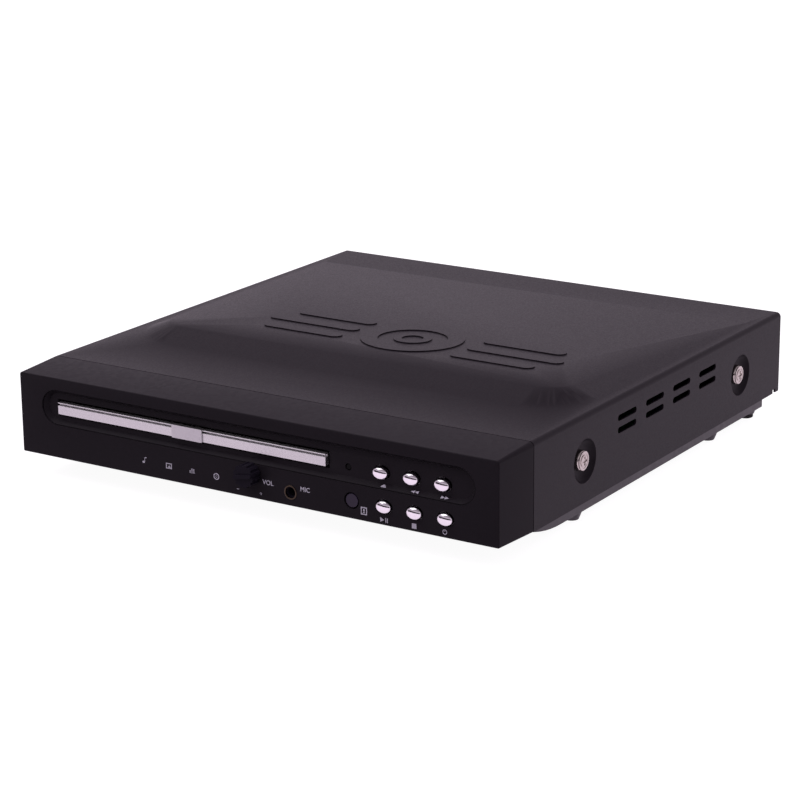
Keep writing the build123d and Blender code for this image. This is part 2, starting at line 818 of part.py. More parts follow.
def push_button(name, x, up, front, seat):
    """One button: domed cap, retaining flange behind the wall and a stem to its switch."""
    with BuildPart() as button:
        for step in dome_steps:
            across = math.sqrt(1 - step**2)
            with BuildSketch(front_plane(front + button_dome * (1 - step))):
                with Locations((x, z_at(up))):
                    Ellipse(across * button_width / 2, across * button_height / 2)
        loft()
        with BuildSketch(front_plane(front + button_dome)):
            with Locations((x, z_at(up))):
                Ellipse(button_width / 2, button_height / 2)
        extrude(amount=-(seat - front - button_dome + 0.1))
        with BuildSketch(front_plane(seat)):
            with Locations((x, z_at(up))):
                Ellipse(
                    button_width / 2 + button_gap + button_lip, button_height / 2 + button_gap + button_lip
                )
        extrude(amount=-button_flange)
        pin(x, seat + button_flange - 0.1, switch_front - button_travel - switch_gap, up, stem_radius)
    finish(button, name)


upper_front = upper_buttons_back - button_proud
for name, x in zip(["eject_button", "previous_button", "next_button"], upper_buttons_x):
    push_button(name, x, upper_buttons_up, upper_front, groove_back)
for name, x in zip(["play_button", "stop_button", "power_button"], lower_buttons_x):
    push_button(name, x, lower_buttons_up, -button_proud, face_wall)

# Loader: the moulded frame that carries the tray, the drive and the deck
loader_inner = tray_width / 2 + loader_side_gap
loader_outer = loader_inner + loader_wall
loader_top = loader_floor + loader_sheet
rail_up = tray_bottom - slide_gap
rail_reach = loader_inner - loader_wall
tray_top = tray_bottom + tray_thick
tab_up = tray_top + 2 * slide_gap
side_up = tab_up + tab_thick
deck_opening = deck_half + 2.0
opening_front = cam_depth - 1.2
opening_rear = hinge_depth + 12
ear_in = deck_half + 3
loader_legs = [loader_front + 28, loader_rear - 6]
lug_reach = loader_inner - 4.8
pulley_x = drive_x + train_module * (drive_teeth + pulley_teeth) / 2
pulley_low = loader_top + 0.4
pulley_mesh_low = pulley_low + gear_thick
drive_low = pulley_mesh_low + 0.4
rack_line = drive_x + rack_module * pinion_teeth / 2
pinion_tip = rack_module * (pinion_teeth / 2 + gear_addendum)
rack_low = 17.3
cam_left = lift_pin_x[0] - 4
cam_right = lift_pin_x[1] + cam_stroke + 4
channel_up = tray_bottom + 0.8
drive_top = channel_up - gear_rise
with BuildPart() as loader_frame:
    block(tray_x - loader_outer, tray_x + loader_outer, loader_front, loader_rear, loader_floor, loader_top)
    block(
        tray_x - deck_opening, tray_x + deck_opening, opening_front, opening_rear,
        loader_floor - 1, loader_top + 1, Mode.SUBTRACT,
    )
    block(
        tray_x, cam_right + 1, opening_front, cam_depth + cam_thick + 0.6,
        loader_floor - 1, loader_top + 1, Mode.SUBTRACT,
    )
    for side in (-1, 1):
        wall_in, wall_out = tray_x + side * loader_inner, tray_x + side * loader_outer
        rail_in = tray_x + side * rail_reach
        block(wall_in, wall_out, loader_front, loader_rear, loader_floor, side_up)
        block(
            wall_in, wall_out, spindle_depth - tower_half, spindle_depth + tower_half,
            side_up - 0.1, tower_up,
        )
        block(rail_in, wall_in, loader_front, loader_rear, rail_up - rail_thick, rail_up)
        for depth in (loader_front + 9, (loader_front + loader_rear) / 2 - 2, loader_rear - 23):
            block(rail_in, wall_in, depth - 5, depth + 5, tab_up, side_up)
        block(
            tray_x + side * ear_in, tray_x + side * (ear_in + 3), hinge_depth - 4, hinge_depth + 4,
            loader_top - 0.1, hinge_up + 3.6,
        )
        cross_pin(
            tray_x + side * (ear_in - 1), tray_x + side * (ear_in + 4), hinge_depth, hinge_up,
            hinge_radius + axle_gap, Mode.SUBTRACT,
        )
        for depth in loader_legs:
            lug_in = tray_x + side * (lug_reach - 3)
            block(lug_in, wall_out, depth - 4, depth + 4, pan_inside, loader_floor + 0.1)
    block(
        tray_x - loader_outer, tray_x + loader_outer, loader_front, loader_front + loader_end,
        loader_floor, loader_front_up,
    )
    block(
        tray_x - loader_outer, tray_x + loader_outer, loader_rear - loader_end, loader_rear,
        loader_floor, side_up,
    )
    post(drive_x, drive_depth, loader_floor, drive_low - 0.1, axle_radius + 1.1)
    post(drive_x, drive_depth, loader_floor, drive_top - 0.2, axle_radius)
    post(pulley_x, drive_depth, loader_floor, pulley_low - 0.1, axle_radius + 1.1)
    post(pulley_x, drive_depth, loader_floor, drive_low + gear_thick, axle_radius)
    post(motor_x, motor_depth, loader_floor - 1, loader_top + 1, 2.2, Mode.SUBTRACT)
    for side in (-1, 1):
        for depth in loader_legs:
            post(tray_x + side * lug_reach, depth, 0, loader_top + 1, pan_bore, Mode.SUBTRACT)
finish(loader_frame, "loader_frame")

# Drive train: motor, belt, pulley gear and drive gear
motor_shaft_radius = 1.0
pulley_flange = pulley_groove + belt_size
motor_flange = motor_groove + belt_size + 0.3
belt_up = pulley_low + gear_thick / 2
with BuildPart() as loading_motor:
    post(motor_x, motor_depth, motor_foot, loader_floor, motor_radius)
    fillet(loading_motor.edges().group_by(Axis.Z)[0], radius=0.8)
    post(motor_x, motor_depth, motor_foot + 2, loader_floor + 1, motor_shaft_radius + axle_gap, Mode.SUBTRACT)
finish(loading_motor, "loading_motor")


def grooved_pulley(x, depth, groove, flange):
    """Add a flat pulley with a square groove for the belt, one gear width high."""
    edge = (gear_thick - belt_size) / 2 - 0.2
    post(x, depth, pulley_low, pulley_low + gear_thick, groove)
    post(x, depth, pulley_low, pulley_low + edge, flange)
    post(x, depth, pulley_low + gear_thick - edge, pulley_low + gear_thick, flange)


with BuildPart() as motor_pulley:
    grooved_pulley(motor_x, motor_depth, motor_groove, motor_flange)
    post(motor_x, motor_depth, motor_foot + 3, pulley_low + 0.1, motor_shaft_radius)
finish(motor_pulley, "motor_pulley")

with BuildPart() as pulley_gear:
    grooved_pulley(pulley_x, drive_depth, pulley_groove, pulley_flange)
    with BuildSketch(gear_plane(pulley_x, drive_depth, pulley_mesh_low - 0.1)):
        with BuildLine():
            Polyline(*tooth_points(pulley_teeth, train_module, math.pi / pulley_teeth), close=True)
        make_face()
    extrude(amount=gear_thick + 0.4)
    post(pulley_x, drive_depth, 0, drive_low + 2 * gear_thick, axle_radius + axle_gap, Mode.SUBTRACT)
finish(pulley_gear, "pulley_gear")

with BuildPart() as drive_gear:
    with BuildSketch(gear_plane(drive_x, drive_depth, drive_low)):
        with BuildLine():
            Polyline(*tooth_points(drive_teeth, train_module, 0), close=True)
        make_face()
    extrude(amount=gear_thick)
    with BuildSketch(gear_plane(drive_x, drive_depth, drive_low + gear_thick)):
        with BuildLine():
            Polyline(*tooth_points(pinion_teeth, rack_module, 0), close=True)
        make_face()
    extrude(amount=drive_top - drive_low - gear_thick)
    post(drive_x, drive_depth, 0, drive_top + 1, axle_radius + axle_gap, Mode.SUBTRACT)
finish(drive_gear, "drive_gear")

belt_centres = [(pulley_x, drive_depth, pulley_groove), (motor_x, motor_depth, motor_groove)]
with BuildPart() as drive_belt:
    for reach, mode in [(0.05 + belt_size, Mode.ADD), (0.05, Mode.SUBTRACT)]:
        with BuildSketch(level(belt_up - belt_size / 2)):
            for x, depth, groove in belt_centres:
                with Locations((x, y_at(depth))):
                    Circle(groove + reach)
            make_hull()
        extrude(amount=belt_size, mode=mode)
finish(drive_belt, "drive_belt")


def rack_points(module, first, last, line_x, side, gap_at):
    """Corners of a rack along the depth, with one gap centred on the depth gap_at."""
    pitch = math.pi * module
    half = (math.pi / 2 - gear_play) * module / 2
    lean = math.tan(math.radians(20))
    tip_x = line_x + side * gear_addendum * module
    root_x = line_x - side * gear_dedendum * module
    foot_half = half + gear_dedendum * module * lean
    tip_half = half - gear_addendum * module * lean
    points = []
    tooth = gap_at - pitch / 2 - pitch * math.floor((gap_at - pitch - first) / pitch)
    while tooth + pitch / 2 < last:
        points += [
            (root_x, y_at(tooth - foot_half)), (tip_x, y_at(tooth - tip_half)),
            (tip_x, y_at(tooth + tip_half)), (root_x, y_at(tooth + foot_half)),
        ]
        tooth += pitch
    return [(root_x, y_at(first))] + points + [(root_x, y_at(last))]


# Tray: a moulded plate with disc wells, a slot for the deck and a toothed rack below
tray_rear = tray_front + tray_length
rack_back = rack_line + rack_module * gear_dedendum + 2.6
with BuildPart() as disc_tray:
    block(
        tray_x - tray_width / 2, tray_x + tray_width / 2, tray_front, tray_rear, tray_bottom, tray_top,
    )
    fillet(disc_tray.edges().filter_by(Axis.Z).group_by(Axis.Y)[-1], radius=3)
    well_floor = tray_bottom + tray_floor
    post(tray_x, spindle_depth, well_floor, tray_top + 1, disc_radius + disc_play, Mode.SUBTRACT)
    post(
        tray_x, spindle_depth, well_floor - well_step, tray_top + 1, small_disc_radius + disc_play,
        Mode.SUBTRACT,
    )
    with BuildSketch(level(tray_bottom - 1)):
        with Locations((tray_x, y_at(spindle_depth))):
            Circle(tray_slot / 2)
        with Locations((tray_x, y_at((spindle_depth + tray_rear + 2) / 2))):
            Rectangle(tray_slot, tray_rear + 2 - spindle_depth)
    extrude(amount=tray_thick + 2, mode=Mode.SUBTRACT)
    block(
        drive_x - pinion_tip - 0.4, rack_back, drive_depth - pinion_tip - 1, tray_rear + 1,
        tray_bottom - 1, channel_up, Mode.SUBTRACT,
    )
    with BuildSketch(level(rack_low)):
        with BuildLine():
            teeth = rack_points(
                rack_module, drive_depth - pinion_tip - 1, tray_rear, rack_line, -1, drive_depth
            )
            Polyline(*teeth, (rack_back, y_at(tray_rear)), (rack_back, teeth[0][1]), close=True)
        make_face()
    extrude(amount=channel_up - rack_low + 0.05)
finish(disc_tray, "disc_tray")

door_foot = door_middle - door_height / 2
door_line_up = door_foot + door_height - door_bevel - door_line - 0.25
with BuildPart() as tray_door:
    block(
        tray_x - door_width / 2, tray_x + door_width / 2, door_front, tray_front,
        door_foot, door_foot + door_height,
    )
    chamfer(tray_door.faces().sort_by(Axis.Y)[0].edges().sort_by(Axis.Z)[-1], length=door_bevel)
    block(
        tray_x - door_width / 2 - 1, tray_x + door_width / 2 + 1, door_front - 1,
        door_front + door_line_deep, door_line_up, door_line_up + door_line, Mode.SUBTRACT,
    )
finish(tray_door, "tray_door")

with BuildPart() as door_badge:
    block(
        tray_x - badge_width / 2, tray_x + badge_width / 2, door_front - badge_thick, door_front,
        door_middle - badge_height / 2, door_middle + badge_height / 2,
    )
    fillet(door_badge.edges().filter_by(Axis.Y), radius=0.4)
finish(door_badge, "door_badge")

# Deck: lift frame on two hinge pins, rubber dampers and the pressed deck plate
bar_rear = deck_front + 4
pad_reach = deck_half - 8
pad_depths = [deck_front + 10, hinge_depth - 10]
pad_up = deck_low + 1.5
with BuildPart() as lift_frame:
    block(tray_x - deck_half, tray_x + deck_half, deck_front, hinge_depth + 4, deck_low, hinge_up + 1.5)
    block(
        tray_x - deck_half + deck_bar, tray_x + deck_half - deck_bar, deck_front + deck_bar,
        hinge_depth + 4 - deck_bar, deck_low - 1, hinge_up + 3, Mode.SUBTRACT,
    )
    block(tray_x - deck_half, tray_x + deck_half, deck_front, bar_rear, deck_low, lift_pin_up + 1.3)
    for x in lift_pin_x:
        pin(x, cam_depth + 0.1, deck_front + 0.1, lift_pin_up, lift_pin_radius)
    for side in (-1, 1):
        cross_pin(
            tray_x + side * (deck_half - 1), tray_x + side * (ear_in + 4), hinge_depth, hinge_up, hinge_radius
        )
        for depth in pad_depths:
            block(
                tray_x + side * (pad_reach - 4), tray_x + side * (deck_half - deck_bar + 0.1),
                depth - 4, depth + 4, deck_low, pad_up,
            )
finish(lift_frame, "lift_frame")

with BuildPart() as deck_dampers:
    for side in (-1, 1):
        for depth in pad_depths:
            post(tray_x + side * pad_reach, depth, pad_up, plate_up, 3.5)
            post(tray_x + side * pad_reach, depth, pad_up - 1, plate_up + 1, 1.2, Mode.SUBTRACT)
finish(deck_dampers, "deck_dampers")

plate_top = plate_up + plate_thick
rod_tabs = [rod_front + 0.75, rod_rear - 0.75]
with BuildPart() as deck_plate:
    block(tray_x - plate_half, tray_x + plate_half, plate_front, plate_rear, plate_up, plate_top)
    block(
        tray_x - 16, tray_x + 16, sled_front + 5, rod_rear - 4, plate_up - 1, plate_top + 1, Mode.SUBTRACT,
    )
    post(tray_x, spindle_depth, plate_up - 1, plate_top + 1, 3, Mode.SUBTRACT)
    post(tray_x + sled_motor_reach, sled_motor_depth, plate_up - 1, plate_top + 1, 1.5, Mode.SUBTRACT)
    for side in (-1, 1):
        for depth in rod_tabs:
            rod_x = tray_x + side * rod_reach
            block(rod_x - 2.5, rod_x + 2.5, depth - 0.75, depth + 0.75, plate_top - 0.1, rod_up + 2.2)
            pin(rod_x, depth - 2, depth + 2, rod_up, rod_radius + 0.02, Mode.SUBTRACT)
    post(tray_x + sled_gear_reach, sled_gear_depth, plate_top - 0.1, plate_top + 3.2, spindle_radius)
finish(deck_plate, "deck_plate")

with BuildPart() as spindle_motor:
    post(tray_x, spindle_depth, plate_up - 6, plate_up, spindle_motor_radius)
    fillet(spindle_motor.edges().group_by(Axis.Z)[0], radius=0.6)
    post(tray_x, spindle_depth, plate_up - 0.1, plate_top, 2.8)
    post(tray_x, spindle_depth, plate_up - 5, plate_top + 1, spindle_radius + axle_gap, Mode.SUBTRACT)
finish(spindle_motor, "spindle_motor")

with BuildPart() as turntable:
    post(tray_x, spindle_depth, plate_top + 0.6, platter_up, 5)
    post(tray_x, spindle_depth, platter_up - 1.3, platter_up, platter_radius)
    post(tray_x, spindle_depth, platter_up - 0.1, hub_up, hub_radius)
    chamfer(turntable.edges().group_by(Axis.Z)[-1], length=1.2)
    post(tray_x, spindle_depth, plate_up - 4.5, platter_up, spindle_radius)
finish(turntable, "turntable")

with BuildPart() as guide_rods:
    for side in (-1, 1):
        pin(tray_x + side * rod_reach, rod_front, rod_rear, rod_up, rod_radius)
finish(guide_rods, "guide_rods")

# Pickup sled with its rack, lens, gear, pinion and motor
sled_low = plate_top + 0.4
sled_up = rod_up + 2.6
rack_span = (sled_gear_depth - sled_stroke - 2, sled_gear_depth + 3.2)
mesh_low = plate_top + 0.7
mesh_thick = 2.0
sled_line = tray_x + sled_gear_reach - sled_module * sled_gear_teeth / 2
with BuildPart() as pickup_sled:
    block(
        tray_x - sled_half, tray_x + sled_half, sled_front, sled_front + sled_length, sled_low, sled_up,
    )
    fillet(pickup_sled.edges().filter_by(Axis.Z), radius=2)
    for side in (-1, 1):
        pin(
            tray_x + side * rod_reach, sled_front - 1, sled_front + sled_length + 1,
            rod_up, rod_radius + axle_gap, Mode.SUBTRACT,
        )
    with BuildSketch(level(mesh_low)):
        with BuildLine():
            teeth = rack_points(sled_module, *rack_span, sled_line, 1, sled_gear_depth)
            rack_rear_x = tray_x + rod_reach + 2.9
            Polyline(*teeth, (rack_rear_x, teeth[-1][1]), (rack_rear_x, teeth[0][1]), close=True)
        make_face()
    extrude(amount=mesh_thick)
finish(pickup_sled, "pickup_sled")

with BuildPart() as pickup_lens:
    block(tray_x - 9, tray_x + 9, lens_depth - 7, lens_depth + 7, sled_up, sled_up + 1.3)
    fillet(pickup_lens.edges().filter_by(Axis.Z), radius=1.5)
    post(tray_x, lens_depth, sled_up + 1, sled_up + 1.7, 2.5)
    fillet(pickup_lens.edges().group_by(Axis.Z)[-1], radius=0.3)
finish(pickup_lens, "pickup_lens")

with BuildPart() as sled_gear:
    with BuildSketch(gear_plane(tray_x + sled_gear_reach, sled_gear_depth, mesh_low)):
        with BuildLine():
            Polyline(*tooth_points(sled_gear_teeth, sled_module, math.pi), close=True)
        make_face()
    extrude(amount=mesh_thick)
    post(
        tray_x + sled_gear_reach, sled_gear_depth, plate_up, mesh_low + mesh_thick + 1,
        spindle_radius + axle_gap, Mode.SUBTRACT,
    )
finish(sled_gear, "sled_gear")

with BuildPart() as sled_motor:
    post(tray_x + sled_motor_reach, sled_motor_depth, plate_up - 10, plate_up, sled_motor_radius)
    fillet(sled_motor.edges().group_by(Axis.Z)[0], radius=0.5)
    post(
        tray_x + sled_motor_reach, sled_motor_depth, plate_up - 8, plate_up + 1,
        0.75 * spindle_radius + axle_gap, Mode.SUBTRACT,
    )
finish(sled_motor, "sled_motor")

with BuildPart() as sled_pinion:
    with BuildSketch(gear_plane(tray_x + sled_motor_reach, sled_motor_depth, mesh_low)):
        with BuildLine():
            Polyline(*tooth_points(sled_pinion_teeth, sled_module, sled_pinion_phase), close=True)
        make_face()
    extrude(amount=mesh_thick)
    post(tray_x + sled_motor_reach, sled_motor_depth, plate_up - 7, mesh_low + 0.1, 0.75 * spindle_radius)
finish(sled_pinion, "sled_pinion")

# Cam slider with two slanted slots that carry the lift pins
lift_reach = hinge_depth - cam_depth - cam_thick / 2
tilt = math.radians(deck_tilt)
lift_rise = lift_pin_up - hinge_up
lift_drop = lift_reach * math.sin(tilt) + lift_rise * (1 - math.cos(tilt))
slot_half = lift_pin_radius + 0.25
cam_foot = 4.2
cam_foot_in = 24.0
cam_foot_thick = 1.6
with BuildPart() as cam_slider:
    block(
        cam_left, cam_right, cam_depth, cam_depth + cam_thick,
        loader_floor + 0.2, lift_pin_up + 2.4,
    )
    block(
        cam_left + cam_foot_in, cam_right, cam_depth - cam_foot, cam_depth + 0.1,
        loader_top + slide_gap, loader_top + cam_foot_thick,
    )
    with BuildSketch(front_plane(cam_depth - 1)):
        for x in lift_pin_x:
            top_end = Vector(x, z_at(lift_pin_up))
            low_end = Vector(x + cam_stroke, z_at(lift_pin_up - lift_drop))
            middle = (top_end + low_end) * 0.5
            lean = -math.degrees(math.atan2(lift_drop, cam_stroke))
            with Locations(middle):
                SlotCenterToCenter((low_end - top_end).length, 2 * slot_half, rotation=lean)
    extrude(amount=-(cam_thick + 2), mode=Mode.SUBTRACT)
finish(cam_slider, "cam_slider")

# Clamp over the spindle
bridge_thick = 1.2
bridge_half = tower_half - 2.0
with BuildPart() as clamp_bridge:
    block(
        tray_x - loader_outer, tray_x + loader_outer, spindle_depth - bridge_half,
        spindle_depth + bridge_half, tower_up, tower_up + bridge_thick,
    )
    for depth in (spindle_depth - bridge_half, spindle_depth + bridge_half - 1):
        block(
            tray_x - loader_outer, tray_x + loader_outer, depth, depth + 1,
            tower_up + bridge_thick - 0.1, tower_up + bridge_thick + 1.8,
        )
    post(tray_x, spindle_depth, tower_up - 1, tower_up + 2, clamper_neck + 0.4, Mode.SUBTRACT)
finish(clamp_bridge, "clamp_bridge")

with BuildPart() as clamper:
    post(tray_x, spindle_depth, hub_up + 0.4, tower_up - 0.6, clamper_radius)
    post(tray_x, spindle_depth, tower_up - 0.7, tower_up + bridge_thick + 0.2, clamper_neck)
    post(
        tray_x, spindle_depth, tower_up + bridge_thick + 0.1, tower_up + bridge_thick + 1.3,
        clamper_neck + 1.4,
    )
finish(clamper, "clamper")

# Circuit boards on their posts, with what stands on them
board_top = board_up + board_thick


def board_sheet(x0, x1, d0, d1, posts):
    """Add a board with its screw holes."""
    block(x0, x1, d0, d1, board_up, board_top)
    for x, depth in posts:
        post(x, depth, board_up - 1, board_top + 1, pan_bore, Mode.SUBTRACT)


with BuildPart() as main_board:
    board_sheet(main_left, main_right, main_front, board_rear, main_posts)
finish(main_board, "main_board")

with BuildPart() as power_board:
    board_sheet(power_left, power_right, power_front, board_rear, power_posts)
finish(power_board, "power_board")

chip_row = main_front + 60
chip_column = main_left + 26
side_column = main_right - 8
with BuildPart() as board_chips:
    for x, depth, wide, deep, thick in [
        (chip_column, chip_row, 20, 20, 1.8), (chip_column, chip_row + 30, 10, 18, 1.4),
        (side_column, chip_row, 8, 12, 1.4), (chip_column, chip_row - 30, 12, 8, 1.4),
        (side_column, chip_row + 52, 6, 10, 1.6),
    ]:
        block(x - wide / 2, x + wide / 2, depth - deep / 2, depth + deep / 2, board_top, board_top + thick)
finish(board_chips, "board_chips")

with BuildPart() as board_capacitors:
    for x, depth, radius, tall in [
        (main_left + 10, chip_row - 20, 3.2, 11), (main_left + 10, chip_row - 8, 3.2, 11),
        (side_column, chip_row - 18, 2.5, 8), (side_column, chip_row + 32, 4, 12),
        (main_left + 12, chip_row + 52, 4, 12), (chip_column, chip_row + 54, 3.2, 11),
    ]:
        post(x, depth, board_top, board_top + tall, radius)
    fillet(board_capacitors.edges().filter_by(GeomType.CIRCLE).group_by(Axis.Z)[-1], radius=0.5)
finish(board_capacitors, "board_capacitors")

# Sockets at the rear
socket_core = sleeve_radius - sleeve_wall
rear_seat = rear_face - pan_sheet
socket_margin = 8.0
socket_depth = 17.0
with BuildPart() as av_sockets:
    block(
        socket_x[0] - socket_margin, socket_x[-1] + socket_margin, rear_seat - socket_depth, rear_seat,
        board_top, socket_up[-1] + socket_margin - 1,
    )
    fillet(av_sockets.edges().filter_by(Axis.Y).group_by(Axis.Z)[-1], radius=0.6)
    for x, up in socket_places:
        pin(x, rear_seat - 0.1, rear_face + sleeve_reach - 1, up, socket_core - 0.05)
    for x, up in socket_places:
        pin(x, rear_seat - 4, rear_face + sleeve_reach, up, 1.65, Mode.SUBTRACT)
finish(av_sockets, "av_sockets")

with BuildPart() as socket_sleeves:
    for x, up in socket_places:
        pin(x, rear_seat, rear_face + sleeve_reach, up, sleeve_radius)
    for x, up in socket_places:
        pin(x, rear_seat - 1, rear_face + sleeve_reach + 1, up, socket_core, Mode.SUBTRACT)
finish(socket_sleeves, "socket_sleeves")

inlet_rear = rear_face
inlet_up = inlet_foot + inlet_height / 2
inlet_pin = 4.3
inlet_depth = 11.0
inlet_body = 22.0
inlet_hole = 3.9
inlet_waist = 5.8
with BuildPart() as ac_inlet:
    block(
        inlet_x - inlet_width / 2, inlet_x + inlet_width / 2, inlet_rear - inlet_body, inlet_rear,
        inlet_foot, inlet_foot + inlet_height,
    )
    fillet(ac_inlet.edges().filter_by(Axis.Y), radius=0.8)
    with BuildSketch(front_plane(inlet_rear + 1)):
        with Locations((inlet_x, z_at(inlet_up))):
            with GridLocations(2 * inlet_pin, 1, 2, 1):
                Circle(inlet_hole)
            Rectangle(2 * inlet_pin, inlet_waist)
    extrude(amount=inlet_depth + 1, mode=Mode.SUBTRACT)
    for side in (-1, 1):
        pin(inlet_x + side * inlet_pin, inlet_rear - inlet_depth - 1, inlet_rear - 2, inlet_up, 1.2)
finish(ac_inlet, "ac_inlet")

supply_depth = board_rear - 10.5
core_x = power_left + 51
core_width = 26.0
core_deep = 16.0
core_tall = 19.0
coil_width = 20.0
coil_deep = 19.0
with BuildPart() as transformer:
    block(
        core_x - core_width / 2, core_x + core_width / 2, supply_depth - core_deep / 2,
        supply_depth + core_deep / 2, board_top, board_top + core_tall,
    )
    block(
        core_x - coil_width / 2, core_x + coil_width / 2, supply_depth - coil_deep / 2,
        supply_depth + coil_deep / 2, board_top + 3, board_top + core_tall - 4,
    )
    fillet(transformer.edges().filter_by(Axis.Z), radius=0.5)
finish(transformer, "transformer")

with BuildPart() as power_capacitors:
    post(power_right - 19, supply_depth, board_top, board_top + 22, 8)
    for x in (power_right - 24, power_right - 34):
        post(x, power_front + 4, board_top, board_top + 12, 3.2)
    fillet(power_capacitors.edges().filter_by(GeomType.CIRCLE).group_by(Axis.Z)[-1], radius=0.6)
finish(power_capacitors, "power_capacitors")

sink_x = power_right - 33
sink_width = 8.0
sink_tall = 20.0
fin_thick = 1.0
fin_deep = 9.0
with BuildPart() as heat_sink:
    block(
        sink_x - sink_width / 2, sink_x + sink_width / 2, supply_depth - fin_deep / 2 - 2,
        supply_depth - fin_deep / 2 + 0.1, board_top, board_top + sink_tall,
    )
    with Locations((sink_x, y_at(supply_depth), z_at(board_top + sink_tall / 2))):
        with GridLocations((sink_width - fin_thick) / 3, 1, 4, 1):
            Box(fin_thick, fin_deep, sink_tall)
finish(heat_sink, "heat_sink")

# Flat ribbon cables between the boards
ribbon_thick = 0.3
ribbon_up = board_top + ribbon_thick / 2
ribbon_front = board_depth + board_thick + plug_thick + ribbon_thick / 2
ribbon_low = 5.5
ribbon_high = 21.0
ribbon_end = main_front + 16
ribbon_width = 14.0
ribbon_bend = 2.0
with BuildPart() as front_ribbon:
    with BuildSketch(side_plane(plug_x - ribbon_width / 2)):
        with BuildLine():
            FilletPolyline(
                (y_at(ribbon_front), z_at(ribbon_high)),
                (y_at(ribbon_front), z_at(ribbon_low)),
                (y_at(main_front - 3), z_at(ribbon_low)),
                (y_at(main_front + 4), z_at(ribbon_up)),
                (y_at(ribbon_end), z_at(ribbon_up)),
                radius=ribbon_bend,
            )
        trace(line_width=ribbon_thick)
    extrude(amount=ribbon_width)
    split(bisect_by=Plane(origin=(0, y_at(ribbon_end), 0), z_dir=(0, 1, 0)), keep=Keep.BOTTOM)
    split(bisect_by=level(ribbon_high), keep=Keep.BOTTOM)
finish(front_ribbon, "front_ribbon")

link_start = power_right - 9
link_end = main_left + 8
link_hump = 9.0
link_width = 12.0
link_depth = power_front + 4
with BuildPart() as power_ribbon:
    with BuildSketch(front_plane(link_depth)):
        with BuildLine():
            FilletPolyline(
                (link_start, z_at(ribbon_up)),
                (power_right - 2, z_at(ribbon_up)),
                (power_right + 7, z_at(link_hump)),
                (main_left - 8, z_at(link_hump)),
                (main_left + 1, z_at(ribbon_up)),
                (link_end, z_at(ribbon_up)),
                radius=ribbon_bend,
            )
        trace(line_width=ribbon_thick)
    extrude(amount=-link_width)
    split(bisect_by=Plane(origin=(link_start, 0, 0), z_dir=(-1, 0, 0)), keep=Keep.BOTTOM)
    split(bisect_by=Plane(origin=(link_end, 0, 0), z_dir=(1, 0, 0)), keep=Keep.BOTTOM)
finish(power_ribbon, "power_ribbon")

# Screws of the boards and of the loader
inner_seats = [(x, depth, board_top) for x, depth in main_posts + power_posts] + [
    (tray_x + side * lug_reach, depth, loader_top) for side in (-1, 1) for depth in loader_legs
]
with BuildPart() as inner_screws:
    for x, depth, seat in inner_seats:
        post(x, depth, seat, seat + 1.8, 2.6)
        post(x, depth, max(seat - 7, pan_inside + 0.5), seat + 0.1, screw_radius)
finish(inner_screws, "inner_screws")
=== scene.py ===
"""Looks of a slim table-top disc player, dressed around its fixed frame."""

import logging
import math
from dataclasses import dataclass, field
from enum import Enum

import bmesh
import bpy
from mathutils import Matrix, Vector


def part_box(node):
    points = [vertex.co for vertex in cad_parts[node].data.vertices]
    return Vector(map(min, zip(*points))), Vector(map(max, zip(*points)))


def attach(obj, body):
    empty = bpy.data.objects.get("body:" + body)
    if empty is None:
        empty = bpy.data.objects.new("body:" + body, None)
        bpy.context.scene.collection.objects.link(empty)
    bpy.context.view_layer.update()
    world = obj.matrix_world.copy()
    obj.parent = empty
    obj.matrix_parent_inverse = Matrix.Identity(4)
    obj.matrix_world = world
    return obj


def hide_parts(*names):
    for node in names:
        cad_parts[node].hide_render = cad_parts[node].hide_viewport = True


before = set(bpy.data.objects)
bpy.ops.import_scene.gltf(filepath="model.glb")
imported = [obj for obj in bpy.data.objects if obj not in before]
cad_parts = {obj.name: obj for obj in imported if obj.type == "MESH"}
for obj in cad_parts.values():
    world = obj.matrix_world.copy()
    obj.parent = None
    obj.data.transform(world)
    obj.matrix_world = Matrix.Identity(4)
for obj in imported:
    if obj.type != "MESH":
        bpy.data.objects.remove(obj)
LOG = logging.getLogger("disc_player")
MM = 0.001
WELD_MM = 0.002
LEVEL_MM = 0.001
FLAT_DEGREES = 0.4
SHARP_DEGREES = 32.0
CLOUD_MM = 28.0
LEAST_ROUGHNESS = 0.02
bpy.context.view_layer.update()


def linear(code: str) -> tuple[float, float, float, float]:
    """Turn an sRGB hex colour into linear values.

    Args:
        code: six hex digits, such as "3a343c".

    Returns:
        Red, green, blue and an alpha of 1.
    """
    parts = [int(code[i:i + 2], 16) / 255 for i in (0, 2, 4)]
    return (*(p / 12.92 if p <= 0.04045 else ((p + 0.055) / 1.055) ** 2.4 for p in parts), 1.0)


def add_node(tree: bpy.types.NodeTree, kind: str, settings: dict | None = None,
             links: dict | None = None) -> bpy.types.Node:
    """Add one node with its settings and links.

    Args:
        tree: the node tree that gets the node.
        kind: the node's type name.
        settings: values by socket name or index, or by property name.
        links: output sockets by the name or index of the input that they feed.

    Returns:
        The new node.
    """
    node = tree.nodes.new(kind)
    for key, value in (settings or {}).items():
        if isinstance(key, str) and hasattr(node, key):
            setattr(node, key, value)
        else:
            node.inputs[key].default_value = value
    for key, socket in (links or {}).items():
        tree.links.new(socket, node.inputs[key])
    return node


class Grain(Enum):
    """Surface patterns that a finish may have, with the scale of each along X, Y and Z.

    CELLS are small patches that differ a little, as flakes, spark marks, spangles and peel do.
    BRUSH_Y and TURNED are noise that is drawn out along Y and along Z.
    """

    CELLS = (1.0, 1.0, 1.0)
    BRUSH_Y = (1.0, 0.02, 1.0)
    TURNED = (1.0, 1.0, 0.05)


